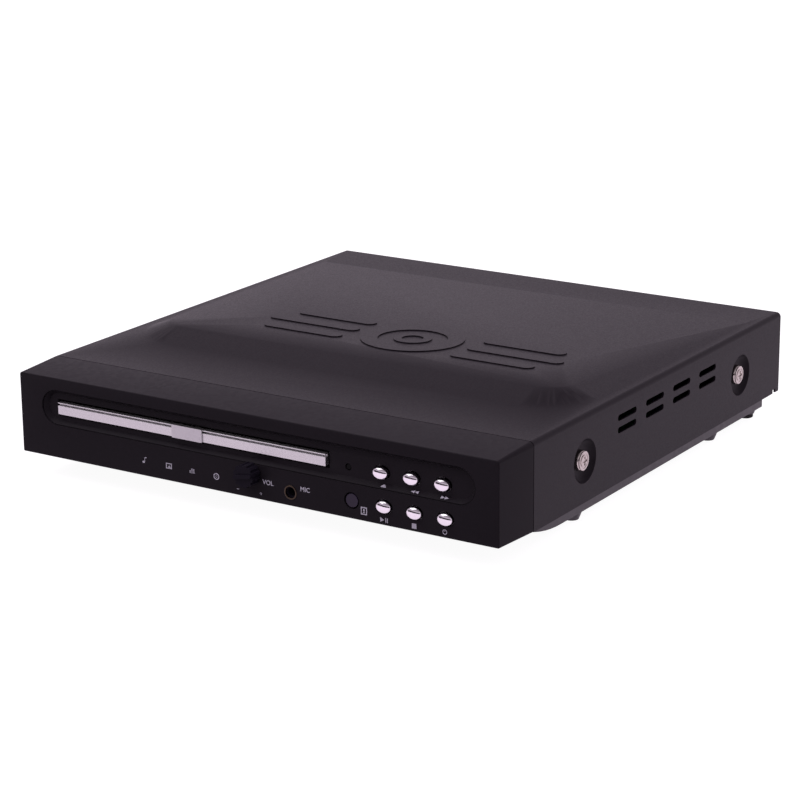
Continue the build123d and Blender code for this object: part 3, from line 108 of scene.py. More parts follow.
@dataclass(frozen=True)
class Finish:
    """One real material with its surface, built as a node material.

    Attributes:
        name: the real material and how its surface was made.
        colour: sRGB hex of the surface as it looks in plain light.
        shade: sRGB hex that the pattern mixes in.
        roughness: middle roughness.
        grain: the pattern of the surface.
        grain_mm: size of one grain, spot or line.
        relief_mm: height of the pattern.
        metallic: 1 for a bare metal.
        specular: specular level of the shader, 0.5 for a usual plastic.
        coat: strength of a clear layer on top.
        coat_roughness: roughness of that layer.
        transmission: share of light that passes.
        rough_shift: how far the roughness wanders.
    """

    name: str
    colour: str
    shade: str
    roughness: float
    grain: Grain = Grain.CELLS
    grain_mm: float = 0.5
    relief_mm: float = 0.01
    metallic: float = 0.0
    specular: float = 0.5
    coat: float = 0.0
    coat_roughness: float = 0.1
    transmission: float = 0.0
    rough_shift: float = 0.06

    def coordinates(self, tree: bpy.types.NodeTree) -> bpy.types.NodeSocket:
        """Draw object coordinates out along the grain.

        Args:
            tree: the material's node tree.

        Returns:
            The socket of the drawn out coordinates.
        """
        place = add_node(tree, "ShaderNodeTexCoord")
        stretched = add_node(tree, "ShaderNodeMapping", {"Scale": self.grain.value},
                             {"Vector": place.outputs["Object"]})
        return stretched.outputs["Vector"]

    def pattern(self, tree: bpy.types.NodeTree) -> bpy.types.NodeSocket:
        """Make the fine pattern.

        Args:
            tree: the material's node tree.

        Returns:
            The socket of a value from 0 to 1.
        """
        vector = self.coordinates(tree)
        scale = 1 / (self.grain_mm * MM)
        if self.grain is Grain.CELLS:
            cells = add_node(tree, "ShaderNodeTexVoronoi", {"Scale": scale}, {"Vector": vector})
            value = add_node(tree, "ShaderNodeRGBToBW", {}, {"Color": cells.outputs["Color"]})
            return value.outputs["Val"]
        noise = add_node(tree, "ShaderNodeTexNoise", {"Scale": scale, "Detail": 5.0},
                         {"Vector": vector})
        return noise.outputs["Fac"]

    def tint(self, tree: bpy.types.NodeTree, fine: bpy.types.NodeSocket) -> bpy.types.NodeSocket:
        """Mix the base colour, clouded softly and broken by the fine pattern.

        Args:
            tree: the material's node tree.
            fine: the socket of the fine pattern.

        Returns:
            The socket of the mixed colour.
        """
        place = add_node(tree, "ShaderNodeTexCoord")
        clouds = add_node(tree, "ShaderNodeTexNoise", {"Scale": 1 / (CLOUD_MM * MM), "Detail": 3.0},
                          {"Vector": place.outputs["Object"]})
        both = add_node(tree, "ShaderNodeMath", {"operation": "MULTIPLY"},
                        {0: clouds.outputs["Fac"], 1: fine})
        mixed = add_node(tree, "ShaderNodeMix",
                         {"data_type": "RGBA", 6: linear(self.colour), 7: linear(self.shade)},
                         {0: both.outputs["Value"]})
        return mixed.outputs[2]

    def material(self) -> bpy.types.Material:
        """Build the material, or find the one that was built before.

        Returns:
            The finish as a node material.
        """
        made = bpy.data.materials.get(self.name)
        if made:
            return made
        made = bpy.data.materials.new(self.name)
        made.use_nodes = True
        tree = made.node_tree
        shader = tree.nodes["Principled BSDF"]
        fine = self.pattern(tree)
        rough = add_node(tree, "ShaderNodeMapRange",
                         {"To Min": max(LEAST_ROUGHNESS, self.roughness - self.rough_shift),
                          "To Max": min(1.0, self.roughness + self.rough_shift)}, {"Value": fine})
        bump = add_node(tree, "ShaderNodeBump",
                        {"Strength": 1.0, "Distance": self.relief_mm * MM}, {"Height": fine})
        tree.links.new(self.tint(tree, fine), shader.inputs["Base Color"])
        tree.links.new(rough.outputs["Result"], shader.inputs["Roughness"])
        tree.links.new(bump.outputs["Normal"], shader.inputs["Normal"])
        for socket, value in {"Metallic": self.metallic, "Specular IOR Level": self.specular,
                              "Coat Weight": self.coat, "Coat Roughness": self.coat_roughness,
                              "Transmission Weight": self.transmission}.items():
            shader.inputs[socket].default_value = value
        made.diffuse_color = linear(self.colour)
        return made


@dataclass(frozen=True)
class CircuitLaminate(Finish):
    """Green solder mask over copper: lighter lines, under a millimetre wide, where copper lies below.

    Attributes:
        tile_mm: length of one tile between the lines.
        line_share: width of a line against a tile.
        track: sRGB hex of the mask over copper.
    """

    tile_mm: float = 14.4
    line_share: float = 0.06
    track: str = "2f6b3c"

    def tint(self, tree: bpy.types.NodeTree, fine: bpy.types.NodeSocket) -> bpy.types.NodeSocket:
        """Mix the mask's colour with lighter lines over the copper.

        Args:
            tree: the material's node tree.
            fine: the socket of the fine pattern, which the mask hides.

        Returns:
            The socket of the mixed colour.
        """
        place = add_node(tree, "ShaderNodeTexCoord")
        cells = add_node(tree, "ShaderNodeTexBrick",
                         {"Scale": 1 / (self.tile_mm * MM), "Mortar Size": self.line_share,
                          "Color1": (0, 0, 0, 1), "Color2": (0, 0, 0, 1), "Mortar": (1, 1, 1, 1)},
                         {"Vector": place.outputs["Object"]})
        mixed = add_node(tree, "ShaderNodeMix",
                         {"data_type": "RGBA", 6: linear(self.colour), 7: linear(self.track)},
                         {0: cells.outputs["Color"]})
        return mixed.outputs[2]


@dataclass(frozen=True)
class RibbonCable(Finish):
    """Flat cable in white film, with a dark line between its conductors.

    Attributes:
        pitch_mm: distance from one conductor to the next.
        along: the direction across the cable.
        gap: where on the wave a gap starts, and where it is darkest.
    """

    pitch_mm: float = 1.0
    along: tuple[float, float, float] = (1.0, 0.0, 0.0)
    gap: tuple[float, float] = (0.3, 0.9)

    def pattern(self, tree: bpy.types.NodeTree) -> bpy.types.NodeSocket:
        """Make lines along the cable.

        Args:
            tree: the material's node tree.

        Returns:
            The socket of a value that is 1 in the gaps.
        """
        place = add_node(tree, "ShaderNodeTexCoord")
        across = add_node(tree, "ShaderNodeVectorMath", {"operation": "DOT_PRODUCT", 1: self.along},
                          {0: place.outputs["Object"]})
        turns = add_node(tree, "ShaderNodeMath",
                         {"operation": "MULTIPLY", 1: 2 * math.pi / (self.pitch_mm * MM)},
                         {0: across.outputs["Value"]})
        wave = add_node(tree, "ShaderNodeMath", {"operation": "SINE"}, {0: turns.outputs["Value"]})
        band = add_node(tree, "ShaderNodeMapRange", {"From Min": self.gap[0], "From Max": self.gap[1]},
                        {"Value": wave.outputs["Value"]})
        return band.outputs["Result"]

    def tint(self, tree: bpy.types.NodeTree, fine: bpy.types.NodeSocket) -> bpy.types.NodeSocket:
        """Mix white film with grey gaps.

        Args:
            tree: the material's node tree.
            fine: the socket that is 1 in the gaps.

        Returns:
            The socket of the mixed colour.
        """
        mixed = add_node(tree, "ShaderNodeMix",
                         {"data_type": "RGBA", 6: linear(self.colour), 7: linear(self.shade)},
                         {0: fine})
        return mixed.outputs[2]


@dataclass(frozen=True)
class SocketPlastic(Finish):
    """Moulded insulators: a black block whose four cores are white, red, yellow and orange.

    Attributes:
        seat_y: Y past which the cores start.
        middle_x: X between the two columns of cores.
        middle_z: Z between the two rows of cores.
        cores: sRGB hex of the cores, up the left column and then up the right one.
    """

    seat_y: float = 0.0
    middle_x: float = 0.0
    middle_z: float = 0.0
    cores: tuple[str, str, str, str] = ("b8201c", "d9d6cf", "c8641a", "d8b020")

    def tint(self, tree: bpy.types.NodeTree, fine: bpy.types.NodeSocket) -> bpy.types.NodeSocket:
        """Choose the colour by where the surface lies.

        Args:
            tree: the material's node tree.
            fine: the socket of the fine pattern, which the cores don't show.

        Returns:
            The socket of the chosen colour.
        """
        place = add_node(tree, "ShaderNodeTexCoord")
        split = add_node(tree, "ShaderNodeSeparateXYZ", {}, {0: place.outputs["Object"]})
        right = add_node(tree, "ShaderNodeMath", {"operation": "GREATER_THAN", 1: self.middle_x},
                         {0: split.outputs["X"]})
        high = add_node(tree, "ShaderNodeMath", {"operation": "GREATER_THAN", 1: self.middle_z},
                        {0: split.outputs["Z"]})
        out = add_node(tree, "ShaderNodeMath", {"operation": "GREATER_THAN", 1: self.seat_y},
                       {0: split.outputs["Y"]})
        pairs = []
        for low, top in (self.cores[:2], self.cores[2:]):
            pair = add_node(tree, "ShaderNodeMix",
                            {"data_type": "RGBA", 6: linear(low), 7: linear(top)},
                            {0: high.outputs["Value"]})
            pairs.append(pair.outputs[2])
        cores = add_node(tree, "ShaderNodeMix", {"data_type": "RGBA"},
                         {0: right.outputs["Value"], 6: pairs[0], 7: pairs[1]})
        whole = add_node(tree, "ShaderNodeMix", {"data_type": "RGBA", 6: linear(self.colour)},
                         {0: out.outputs["Value"], 7: cores.outputs[2]})
        return whole.outputs[2]


# Pearl lacquer on steel: a violet grey, darkest seen straight on and pale at a flat glance. Its flakes are
# drawn coarser than real ones, so that they show.
PEARL_LACQUER = Finish("pearl_lacquer_on_steel", "1d191e", "221d23", 0.42, Grain.CELLS, 0.45, 0.002,
                       specular=0.09)
# Satin paint on moulded styrene: almost black, with the faint unevenness of a moulding.
SATIN_PANEL = Finish("satin_painted_styrene", "221f23", "272328", 0.36, Grain.CELLS, 1.6, 0.0015,
                     specular=0.035)
# Zinc-coated sheet of the pan: the same zinc as the rear panel, painted a darker grey as painted shade,
# because the pan stands in the shade below the case.
SHADED_ZINC_SHEET = Finish("zinc_sheet_painted_shade", "3f3e40", "4a494b", 0.44, Grain.CELLS, 3.0, 0.003,
                   metallic=1.0)
# Zinc-coated sheet: a dull grey with faint spangles.
ZINC_SHEET = Finish("zinc_coated_sheet", "757276", "8b888b", 0.42, Grain.CELLS, 3.0, 0.004,
                    metallic=1.0)
# Steel sheet from the press: clean, with the rolling lines along its length.
ROLLED_STEEL = Finish("cold_rolled_steel", "a9a8aa", "c0bfc0", 0.30, Grain.BRUSH_Y, 0.4, 0.003,
                      metallic=1.0)
# Plated screws: bright, finely turned, with a faint warm tone.
PLATED_STEEL = Finish("nickel_plated_steel", "bab3ae", "978f8b", 0.24, Grain.TURNED, 0.3, 0.004,
                      metallic=1.0)
# Dark screws of the rear panel.
BLACKED_STEEL = Finish("black_passivated_steel", "2b2a2d", "3b393d", 0.34, Grain.TURNED, 0.3, 0.004,
                       metallic=1.0)
# Metallic paint under clear lacquer: pale neutral silver, nearly smooth.
SILVER_PAINT = Finish("silver_metallic_paint", "bfbebf", "afadb0", 0.3, Grain.CELLS, 0.3, 0.003,
                      metallic=0.85, coat=0.6, coat_roughness=0.08)
# Silver paint of the badge: a little duller, with no lacquer over it.
SILVER_SATIN = Finish("satin_silver_paint", "b4b2b5", "a3a1a4", 0.36, Grain.CELLS, 0.25, 0.003,
                      metallic=0.85)
# Chrome on moulded plastic: a mirror, slightly broken by the moulding below.
PLATED_PLASTIC = Finish("chrome_plated_abs", "dfdbe0", "d2cdd4", 0.10, Grain.CELLS, 1.2, 0.004,
                        metallic=1.0, rough_shift=0.03)
# Moulded knob: deep black, with the dull look of spark-eroded flutes.
KNOB_BLACK = Finish("moulded_black_abs", "1b1821", "211e27", 0.38, Grain.CELLS, 0.35, 0.006,
                    specular=0.04)
# Infrared window: glossy acrylic that looks dark violet.
WINDOW_VIOLET = Finish("violet_acrylic_window", "281e34", "30243c", 0.16, Grain.CELLS, 2.0, 0.001,
                       specular=0.2)
# Light guide of the indicator: smoked and unlit.
LENS_SMOKED = Finish("smoked_light_guide", "060507", "0b0a0c", 0.2, Grain.CELLS, 1.0, 0.002,
                     specular=0.05)
# Plated ring of the jack: a dull brown gold.
RING_GOLD = Finish("tinned_brass_ring", "3e352e", "4c4136", 0.3, Grain.TURNED, 0.3, 0.003,
                   metallic=1.0)
# Nickel sleeves of the sockets.
SLEEVE_NICKEL = Finish("nickel_plated_sleeve", "cfcbc3", "bab5ad", 0.2, Grain.TURNED, 0.4, 0.003,
                       metallic=1.0)
# Moulded black plastic of frames and sockets: fine spark texture.
MOULDED_BLACK = Finish("moulded_black_styrene", "1a191b", "252426", 0.5, Grain.CELLS, 0.4, 0.012)
# Moulded tray: black, a little smoother than the frames.
TRAY_BLACK = Finish("moulded_tray_abs", "161517", "201f22", 0.42, Grain.CELLS, 0.5, 0.01)
# Soft rubber: dull, slightly grey, with dust in its pores.
BLACK_RUBBER = Finish("black_rubber", "151414", "232222", 0.78, Grain.CELLS, 0.3, 0.02,
                      specular=0.3)
# Acetal gears: milky white with a waxy sheen.
WHITE_ACETAL = Finish("white_acetal", "dfd9cb", "cfc8b8", 0.36, Grain.CELLS, 0.9, 0.004)
# Black chips and switches: epoxy with a fine matt grain.
EPOXY_BLACK = Finish("black_epoxy_moulding", "18181a", "28282b", 0.55, Grain.CELLS, 0.2, 0.01)
# Shrink sleeve on the capacitors: glossy blue-black film.
SHRINK_SLEEVE = Finish("capacitor_shrink_sleeve", "1c2740", "24324f", 0.25, Grain.CELLS, 1.5, 0.004)
# Extruded aluminium: pale, with the drawing lines of the die.
EXTRUDED_ALUMINIUM = Finish("extruded_aluminium", "c4c5c8", "aeb0b4", 0.3, Grain.BRUSH_Y, 0.3,
                            0.004, metallic=1.0)
# Ferrite core and tape of the transformer: dark, grainy.
FERRITE_CORE = Finish("ferrite_and_tape", "29252a", "383238", 0.5, Grain.CELLS, 0.4, 0.01)
# Pressed glass of the pickup: clear, with a blue coating.
COATED_LENS = Finish("coated_pickup_lens", "9db4e8", "b9c9f2", 0.04, Grain.CELLS, 0.8, 0.0,
                     transmission=0.6)
# White print on the panel: flat ink with a slightly broken surface.
WHITE_INK = Finish("white_screen_print", "cfcdd9", "b8b6c3", 0.5, Grain.CELLS, 0.2, 0.002)
# Green laminate with solder mask.
GREEN_LAMINATE = CircuitLaminate("solder_masked_laminate", "16482a", "1d5a34", 0.34, Grain.CELLS,
                                 0.8, 0.006)


@dataclass(frozen=True)
class Datum:
    """Where the front face, its middle and its foot lie.

    Attributes:
        middle: X of the middle.
        face: Y of the front face.
        foot: Z of the foot of the front face.
    """

    middle: float
    face: float
    foot: float

    @staticmethod
    def from_frame() -> "Datum":
        """Read the datum from the front panel."""
        low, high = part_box("front_panel")
        return Datum((low.x + high.x) / 2, low.y, low.z)

    def at(self, x: float, depth: float, height: float) -> Vector:
        """A point given in millimetres from the middle, the face and the foot."""
        return Vector((self.middle + x * MM, self.face + depth * MM, self.foot + height * MM))


def keep_sharp(mesh: bmesh.types.BMesh) -> None:
    """Smooth every face, and keep the edges sharp that turn by a wide angle.

    Args:
        mesh: the mesh that is smoothed.
    """
    for face in mesh.faces:
        face.smooth = True
    for edge in mesh.edges:
        if len(edge.link_faces) == 2:
            edge.smooth = edge.calc_face_angle(0.0) < math.radians(SHARP_DEGREES)


def finished(name: str, mesh: bmesh.types.BMesh, finish: Finish, body: str,
             replaced: tuple[str, ...] = (), recalculate: bool = True) -> bpy.types.Object:
    """Turn a bmesh into a finished piece of the object.

    Args:
        name: the piece's name.
        mesh: its shape, in place, in metres; it is freed.
        finish: its surface.
        body: the body that it rides on.
        replaced: nodes that it stands for.
        recalculate: turn all faces outwards first.

    Returns:
        The new object.
    """
    if recalculate:
        bmesh.ops.recalc_face_normals(mesh, faces=mesh.faces[:])
    keep_sharp(mesh)
    data = bpy.data.meshes.new(name)
    mesh.to_mesh(data)
    mesh.free()
    piece = bpy.data.objects.new(name, data)
    bpy.context.scene.collection.objects.link(piece)
    data.materials.append(finish.material())
    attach(piece, body)
    if replaced:
        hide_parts(*replaced)
    LOG.info("%s rides on %s, %d faces", name, body, len(data.polygons))
    return piece


def node_copy(node: str) -> bmesh.types.BMesh:
    """Copy a node's mesh, merge its corners and join its flat faces again.

    Args:
        node: the node's name.

    Returns:
        The copy, in place.
    """
    mesh = bmesh.new()
    mesh.from_mesh(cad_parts[node].data)
    bmesh.ops.remove_doubles(mesh, verts=mesh.verts[:], dist=WELD_MM * MM)
    bmesh.ops.dissolve_limit(mesh, angle_limit=math.radians(FLAT_DEGREES), verts=mesh.verts[:],
                             edges=mesh.edges[:])
    return mesh


def soften(piece: bpy.types.Object, width_mm: float) -> None:
    """Round a piece's sharp edges with a live bevel.

    Args:
        piece: the piece that is softened.
        width_mm: width of the bevel.
    """
    bevel = piece.modifiers.new("edges", "BEVEL")
    bevel.width = width_mm * MM
    bevel.segments = 2
    bevel.limit_method = "ANGLE"
    bevel.angle_limit = math.radians(SHARP_DEGREES)
    bevel.miter_outer = "MITER_ARC"
    bevel.harden_normals = True


@dataclass
class Housing:
    """Moulded panel, bent cover and pressed pan.

    Attributes:
        panel_edge: radius on the edges of the panel, in millimetres.
        cover_edge: radius on the edges of the cover.
        pan_edge: radius on the edges of the pan.
    """

    panel_edge: float = 0.3
    cover_edge: float = 0.25
    pan_edge: float = 0.2

    def build(self) -> None:
        """Dress the shells as softened copies of their nodes."""
        body = "case"
        panel = finished("moulded_front_panel", node_copy("front_panel"), SATIN_PANEL, body,
                         ("front_panel",), recalculate=False)
        soften(panel, self.panel_edge)
        cover = finished("pressed_top_cover", node_copy("top_cover"), PEARL_LACQUER, body,
                         ("top_cover",), recalculate=False)
        soften(cover, self.cover_edge)
        # The pan's zinc is painted darker, as painted shade below the case.
        pan = finished("pressed_base_pan", node_copy("base_pan"), SHADED_ZINC_SHEET, body,
                       ("base_pan",), recalculate=False)
        soften(pan, self.pan_edge)


@dataclass
class TrayDoor:
    """Silver door of the tray: a flat face, a dark line above it and a narrow bright lip.

    Attributes:
        lip_mm: height of the lip along the top.
        line_mm: height of the dark line.
        line_deep_mm: how far the line is let in.
        edge_mm: width of the bevel on its edges.
    """

    lip_mm: float = 0.45
    line_mm: float = 0.8
    line_deep_mm: float = 1.4
    edge_mm: float = 0.1

    def build(self) -> None:
        """Draw the door's section and pull it along its length."""
        low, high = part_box("tray_door")
        deep, lip, line = self.line_deep_mm * MM, self.lip_mm * MM, self.line_mm * MM
        section = [(low.y, low.z), (low.y, high.z - lip - line), (low.y + deep, high.z - lip - line),
                   (low.y + deep, high.z - lip), (low.y, high.z - lip), (low.y, high.z),
                   (high.y, high.z), (high.y, low.z)]
        mesh = bmesh.new()
        outline = mesh.faces.new([mesh.verts.new((low.x, y, z)) for y, z in section])
        grown = bmesh.ops.extrude_face_region(mesh, geom=[outline])
        moved = [part for part in grown["geom"] if isinstance(part, bmesh.types.BMVert)]
        bmesh.ops.translate(mesh, verts=moved, vec=(high.x - low.x, 0, 0))
        door = finished("silver_tray_door", mesh, SILVER_PAINT, "tray", ("tray_door",))
        soften(door, self.edge_mm)


@dataclass
class ScrewHeads:
    """Pressed heads on the screws: a flange, a ring and a low dome with a cross.

    Attributes:
        segments: corners round a head.
        profile: radius and height of each point from the rim to the dome, in millimetres.
        arm_mm: half length of the cross.
        arm_width_mm: half width of its arms.
        deep_mm: depth of the cross.
        rows: each node of screws, the axis that they lie along, their finish and their scale.
    """

    segments: int = 32
    profile: tuple[tuple[float, float], ...] = (
        (3.75, -0.2), (3.75, 0.1), (3.5, 0.22), (3.15, 0.2), (2.95, 0.1), (2.9, -0.15), (2.5, -0.15),
        (2.42, 0.2), (2.15, 0.36), (1.95, 0.42))
    arm_mm: float = 1.75
    arm_width_mm: float = 0.48
    deep_mm: float = 0.7
    rows: tuple[tuple[str, int, Finish, float], ...] = (
        ("cover_screws", 0, PLATED_STEEL, 1.0), ("rear_screws", 1, BLACKED_STEEL, 0.68))

    def head(self) -> bmesh.types.BMesh:
        """Build one head around the origin, looking along +Z.

        Returns:
            The head's mesh.
        """
        mesh = bmesh.new()
        chain = [mesh.verts.new((radius * MM, 0, up * MM)) for radius, up in self.profile]
        edges = [mesh.edges.new(pair) for pair in zip(chain, chain[1:])]
        bmesh.ops.spin(mesh, geom=chain + edges, cent=(0, 0, 0), axis=(0, 0, 1), dvec=(0, 0, 0),
                       angle=2 * math.pi, steps=self.segments, use_merge=True)
        top = self.profile[-1][1] * MM
        arm, half = self.arm_mm * MM, self.arm_width_mm * MM
        quarter = [(arm, -half), (arm, half), (half, half)]
        corners = []
        for turn in range(4):
            c, s = round(math.cos(turn * math.pi / 2)), round(math.sin(turn * math.pi / 2))
            corners += [mesh.verts.new((c * x - s * y, s * x + c * y, top)) for x, y in quarter]
        cross = [mesh.edges.new(pair) for pair in zip(corners, corners[1:] + corners[:1])]
        rim = [edge for edge in mesh.edges if len(edge.link_faces) == 1
               and all(abs(vert.co.z - top) < LEVEL_MM * MM for vert in edge.verts)]
        bmesh.ops.triangle_fill(mesh, use_beauty=True, edges=rim + cross)
        wall = bmesh.ops.extrude_edge_only(mesh, edges=cross)
        sunk = [part for part in wall["geom"] if isinstance(part, bmesh.types.BMVert)]
        bmesh.ops.translate(mesh, verts=sunk, vec=(0, 0, -self.deep_mm * MM))
        bmesh.ops.contextual_create(mesh, geom=[part for part in wall["geom"]
                                                if isinstance(part, bmesh.types.BMEdge)])
        return mesh

    def place(self, name: str, seat: Vector, outward: Vector, size: float, finish: Finish) -> None:
        """Set one head on its seat.

        Args:
            name: the piece's name.
            seat: middle of the screw's outer face.
            outward: the direction that the head looks in.
            size: scale against the usual head.
            finish: its surface.
        """
        mesh = self.head()
        turn = outward.to_track_quat("Z", "Y").to_matrix().to_4x4()
        bmesh.ops.transform(mesh, verts=mesh.verts[:],
                            matrix=Matrix.Translation(seat) @ turn @ Matrix.Diagonal((size,) * 3 + (1,)))
        finished(name, mesh, finish, "case")

    def build(self) -> None:
        """Put a head on every screw of the cover and of the rear panel."""
        for node, axis, finish, size in self.rows:
            for number, (seat, outward) in enumerate(screw_seats(node, axis), start=1):
                self.place(f"{node}_head_{number}", seat, outward, size, finish)


def screw_seats(node: str, axis: int) -> list[tuple[Vector, Vector]]:
    """Find the outer face of every screw in a node.

    Args:
        node: the node that holds the screws.
        axis: the axis that the screws lie along, 0 for X and 1 for Y.

    Returns:
        The middle of each outer face with the way it looks.
    """
    mesh = bmesh.new()
    mesh.from_mesh(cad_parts[node].data)
    bmesh.ops.remove_doubles(mesh, verts=mesh.verts[:], dist=WELD_MM * MM)
    seats = []
    left = set(mesh.verts)
    while left:
        group, reach = set(), [left.pop()]
        while reach:
            vert = reach.pop()
            group.add(vert)
            for edge in vert.link_edges:
                other = edge.other_vert(vert)
                if other in left:
                    left.discard(other)
                    reach.append(other)
        low = Vector([min(vert.co[i] for vert in group) for i in range(3)])
        high = Vector([max(vert.co[i] for vert in group) for i in range(3)])
        seat = (low + high) / 2
        way = 1 if seat[axis] > 0 else -1
        seat[axis] = high[axis] if way > 0 else low[axis]
        outward = Vector((0, 0, 0))
        outward[axis] = way
        seats.append((seat, outward))
    mesh.free()
    return sorted(seats, key=lambda pair: tuple(pair[0]))


@dataclass
class NodeFinishes:
    """Finishes of the nodes that keep their own meshes.

    Attributes:
        by_node: a finish for each node's name.
        collar_mm: how far past the inner ends of the sleeves the coloured cores start.
    """

    by_node: dict[str, Finish] = field(default_factory=dict)
    collar_mm: float = 1.2

    def give(self, finish: Finish, *nodes: str) -> None:
        """Note one finish for several nodes."""
        for node in nodes:
            self.by_node[node] = finish

    def dress(self) -> None:
        """Put each finish into its node's material slots."""
        for name, finish in self.by_node.items():
            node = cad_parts[name]
            for place in node.material_slots:
                place.material = finish.material()
            LOG.info("%s has %s", name, finish.name)

    @staticmethod
    def of_the_player() -> "NodeFinishes":
        """Choose the finishes of all nodes of this player.

        Returns:
            The finishes by node.
        """
        chosen = NodeFinishes()
        chosen.give(SILVER_SATIN, "door_badge")
        chosen.give(PLATED_PLASTIC, "eject_button", "previous_button", "next_button",
                    "play_button", "stop_button", "power_button")
        chosen.give(KNOB_BLACK, "volume_knob", "mic_jack")
        chosen.give(WINDOW_VIOLET, "ir_window")
        chosen.give(LENS_SMOKED, "led_lens")
        chosen.give(RING_GOLD, "jack_ring")
        chosen.give(PLATED_STEEL, "cover_screws", "inner_screws", "guide_rods")
        chosen.give(BLACKED_STEEL, "rear_screws")
        chosen.give(ZINC_SHEET, "rear_panel", "deck_plate", "clamp_bridge")
        chosen.give(ROLLED_STEEL, "loading_motor", "spindle_motor", "sled_motor")
        chosen.give(BLACK_RUBBER, "rear_feet", "drive_belt", "deck_dampers")
        chosen.give(TRAY_BLACK, "disc_tray", "turntable", "pickup_sled")
        chosen.give(MOULDED_BLACK, "loader_frame", "lift_frame", "ac_inlet")
        low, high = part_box("socket_sleeves")
        block = SocketPlastic("moulded_socket_block", "1a191b", "252426", 0.42, Grain.CELLS, 0.4, 0.008,
                              seat_y=low.y + chosen.collar_mm * MM, middle_x=(low.x + high.x) / 2,
                              middle_z=(low.z + high.z) / 2)
        chosen.give(block, "av_sockets")
        chosen.give(WHITE_ACETAL, "motor_pulley", "pulley_gear", "drive_gear", "sled_gear",
                    "sled_pinion", "cam_slider", "clamper")
        chosen.give(GREEN_LAMINATE, "front_board", "main_board", "power_board")
        chosen.give(EPOXY_BLACK, "tact_switches", "ir_receiver", "volume_pot", "board_chips")
        chosen.give(SHRINK_SLEEVE, "board_capacitors", "power_capacitors")
        chosen.give(EXTRUDED_ALUMINIUM, "heat_sink", "volume_shaft")
        chosen.give(SLEEVE_NICKEL, "socket_sleeves")
        chosen.give(FERRITE_CORE, "transformer")
        chosen.give(COATED_LENS, "pickup_lens")
        cable = RibbonCable("white_film_ribbon", "d9d9d4", "b9b9b4", 0.4, Grain.CELLS, 1.0, 0.02)
        chosen.give(cable, "front_ribbon", "power_ribbon")
        return chosen


class Symbol(Enum):
    """Printed signs on the panel: each a list of flat shapes in millimetres.

    A shape is its number of corners, its radius, its turn in degrees, its stretch across and up,
    and its shift across and up. A negative radius makes a ring of that radius.
    """

    EJECT = ((3, 0.6, 0, 2.0, 1.0, 0, 0.05), (4, 1.485, 45, 1.0, 0.15, 0, -0.55))
    BACK = ((3, 0.75, 90, 1.47, 1.0, 1.1, 0), (3, 0.75, 90, 1.47, 1.0, -0.55, 0))
    FORWARD = ((3, 0.75, -90, 1.47, 1.0, -1.1, 0), (3, 0.75, -90, 1.47, 1.0, 0.55, 0))
    PLAY_PAUSE = ((3, 1.04, -90, 1.1, 1.0, -1.13, 0), (4, 1.27, 45, 0.2, 1.0, 0.75, 0),
                  (4, 1.27, 45, 0.2, 1.0, 1.45, 0))
    STOP = ((4, 1.41, 45, 1.0, 1.0, 0, 0),)
    POWER = ((24, -1.0, 0, 1.0, 1.0, 0, 0), (4, 0.5, 45, 0.4, 1.2, 0, 0.66))
    SOUND = ((24, 0.55, 0, 1.2, 0.8, -0.35, -0.8), (4, 1.45, 45, 0.12, 1.0, 0.2, 0.1),
             (4, 0.7, 45, 0.9, 0.35, 0.6, 1.0))
    DISC = ((32, -1.35, 0, 1.0, 1.0, 0, 0), (24, -0.45, 0, 1.0, 1.0, 0, 0))
    PICTURE = ((4, -1.6, 45, 1.25, 1.0, 0, 0), (3, 0.7, 0, 1.2, 0.9, 0.2, -0.35))
    VOICE = ((4, -1.95, 45, 1.0, 1.1, 0, 0), (24, 0.4, 0, 1.0, 1.3, 0, 0.25),
             (4, 0.75, 45, 0.9, 0.3, 0, -0.65))
    LEVELS = ((4, 0.8, 45, 0.35, 1.0, -0.9, -0.35), (4, 1.1, 45, 0.26, 1.2, 0, 0.0),
              (4, 0.8, 45, 0.35, 1.6, 0.9, 0.0))
    PLUS = ((4, 0.75, 45, 1.0, 0.22, 0, 0), (4, 0.75, 45, 0.22, 1.0, 0, 0))
    MINUS = ((4, 0.75, 45, 1.0, 0.22, 0, 0),)


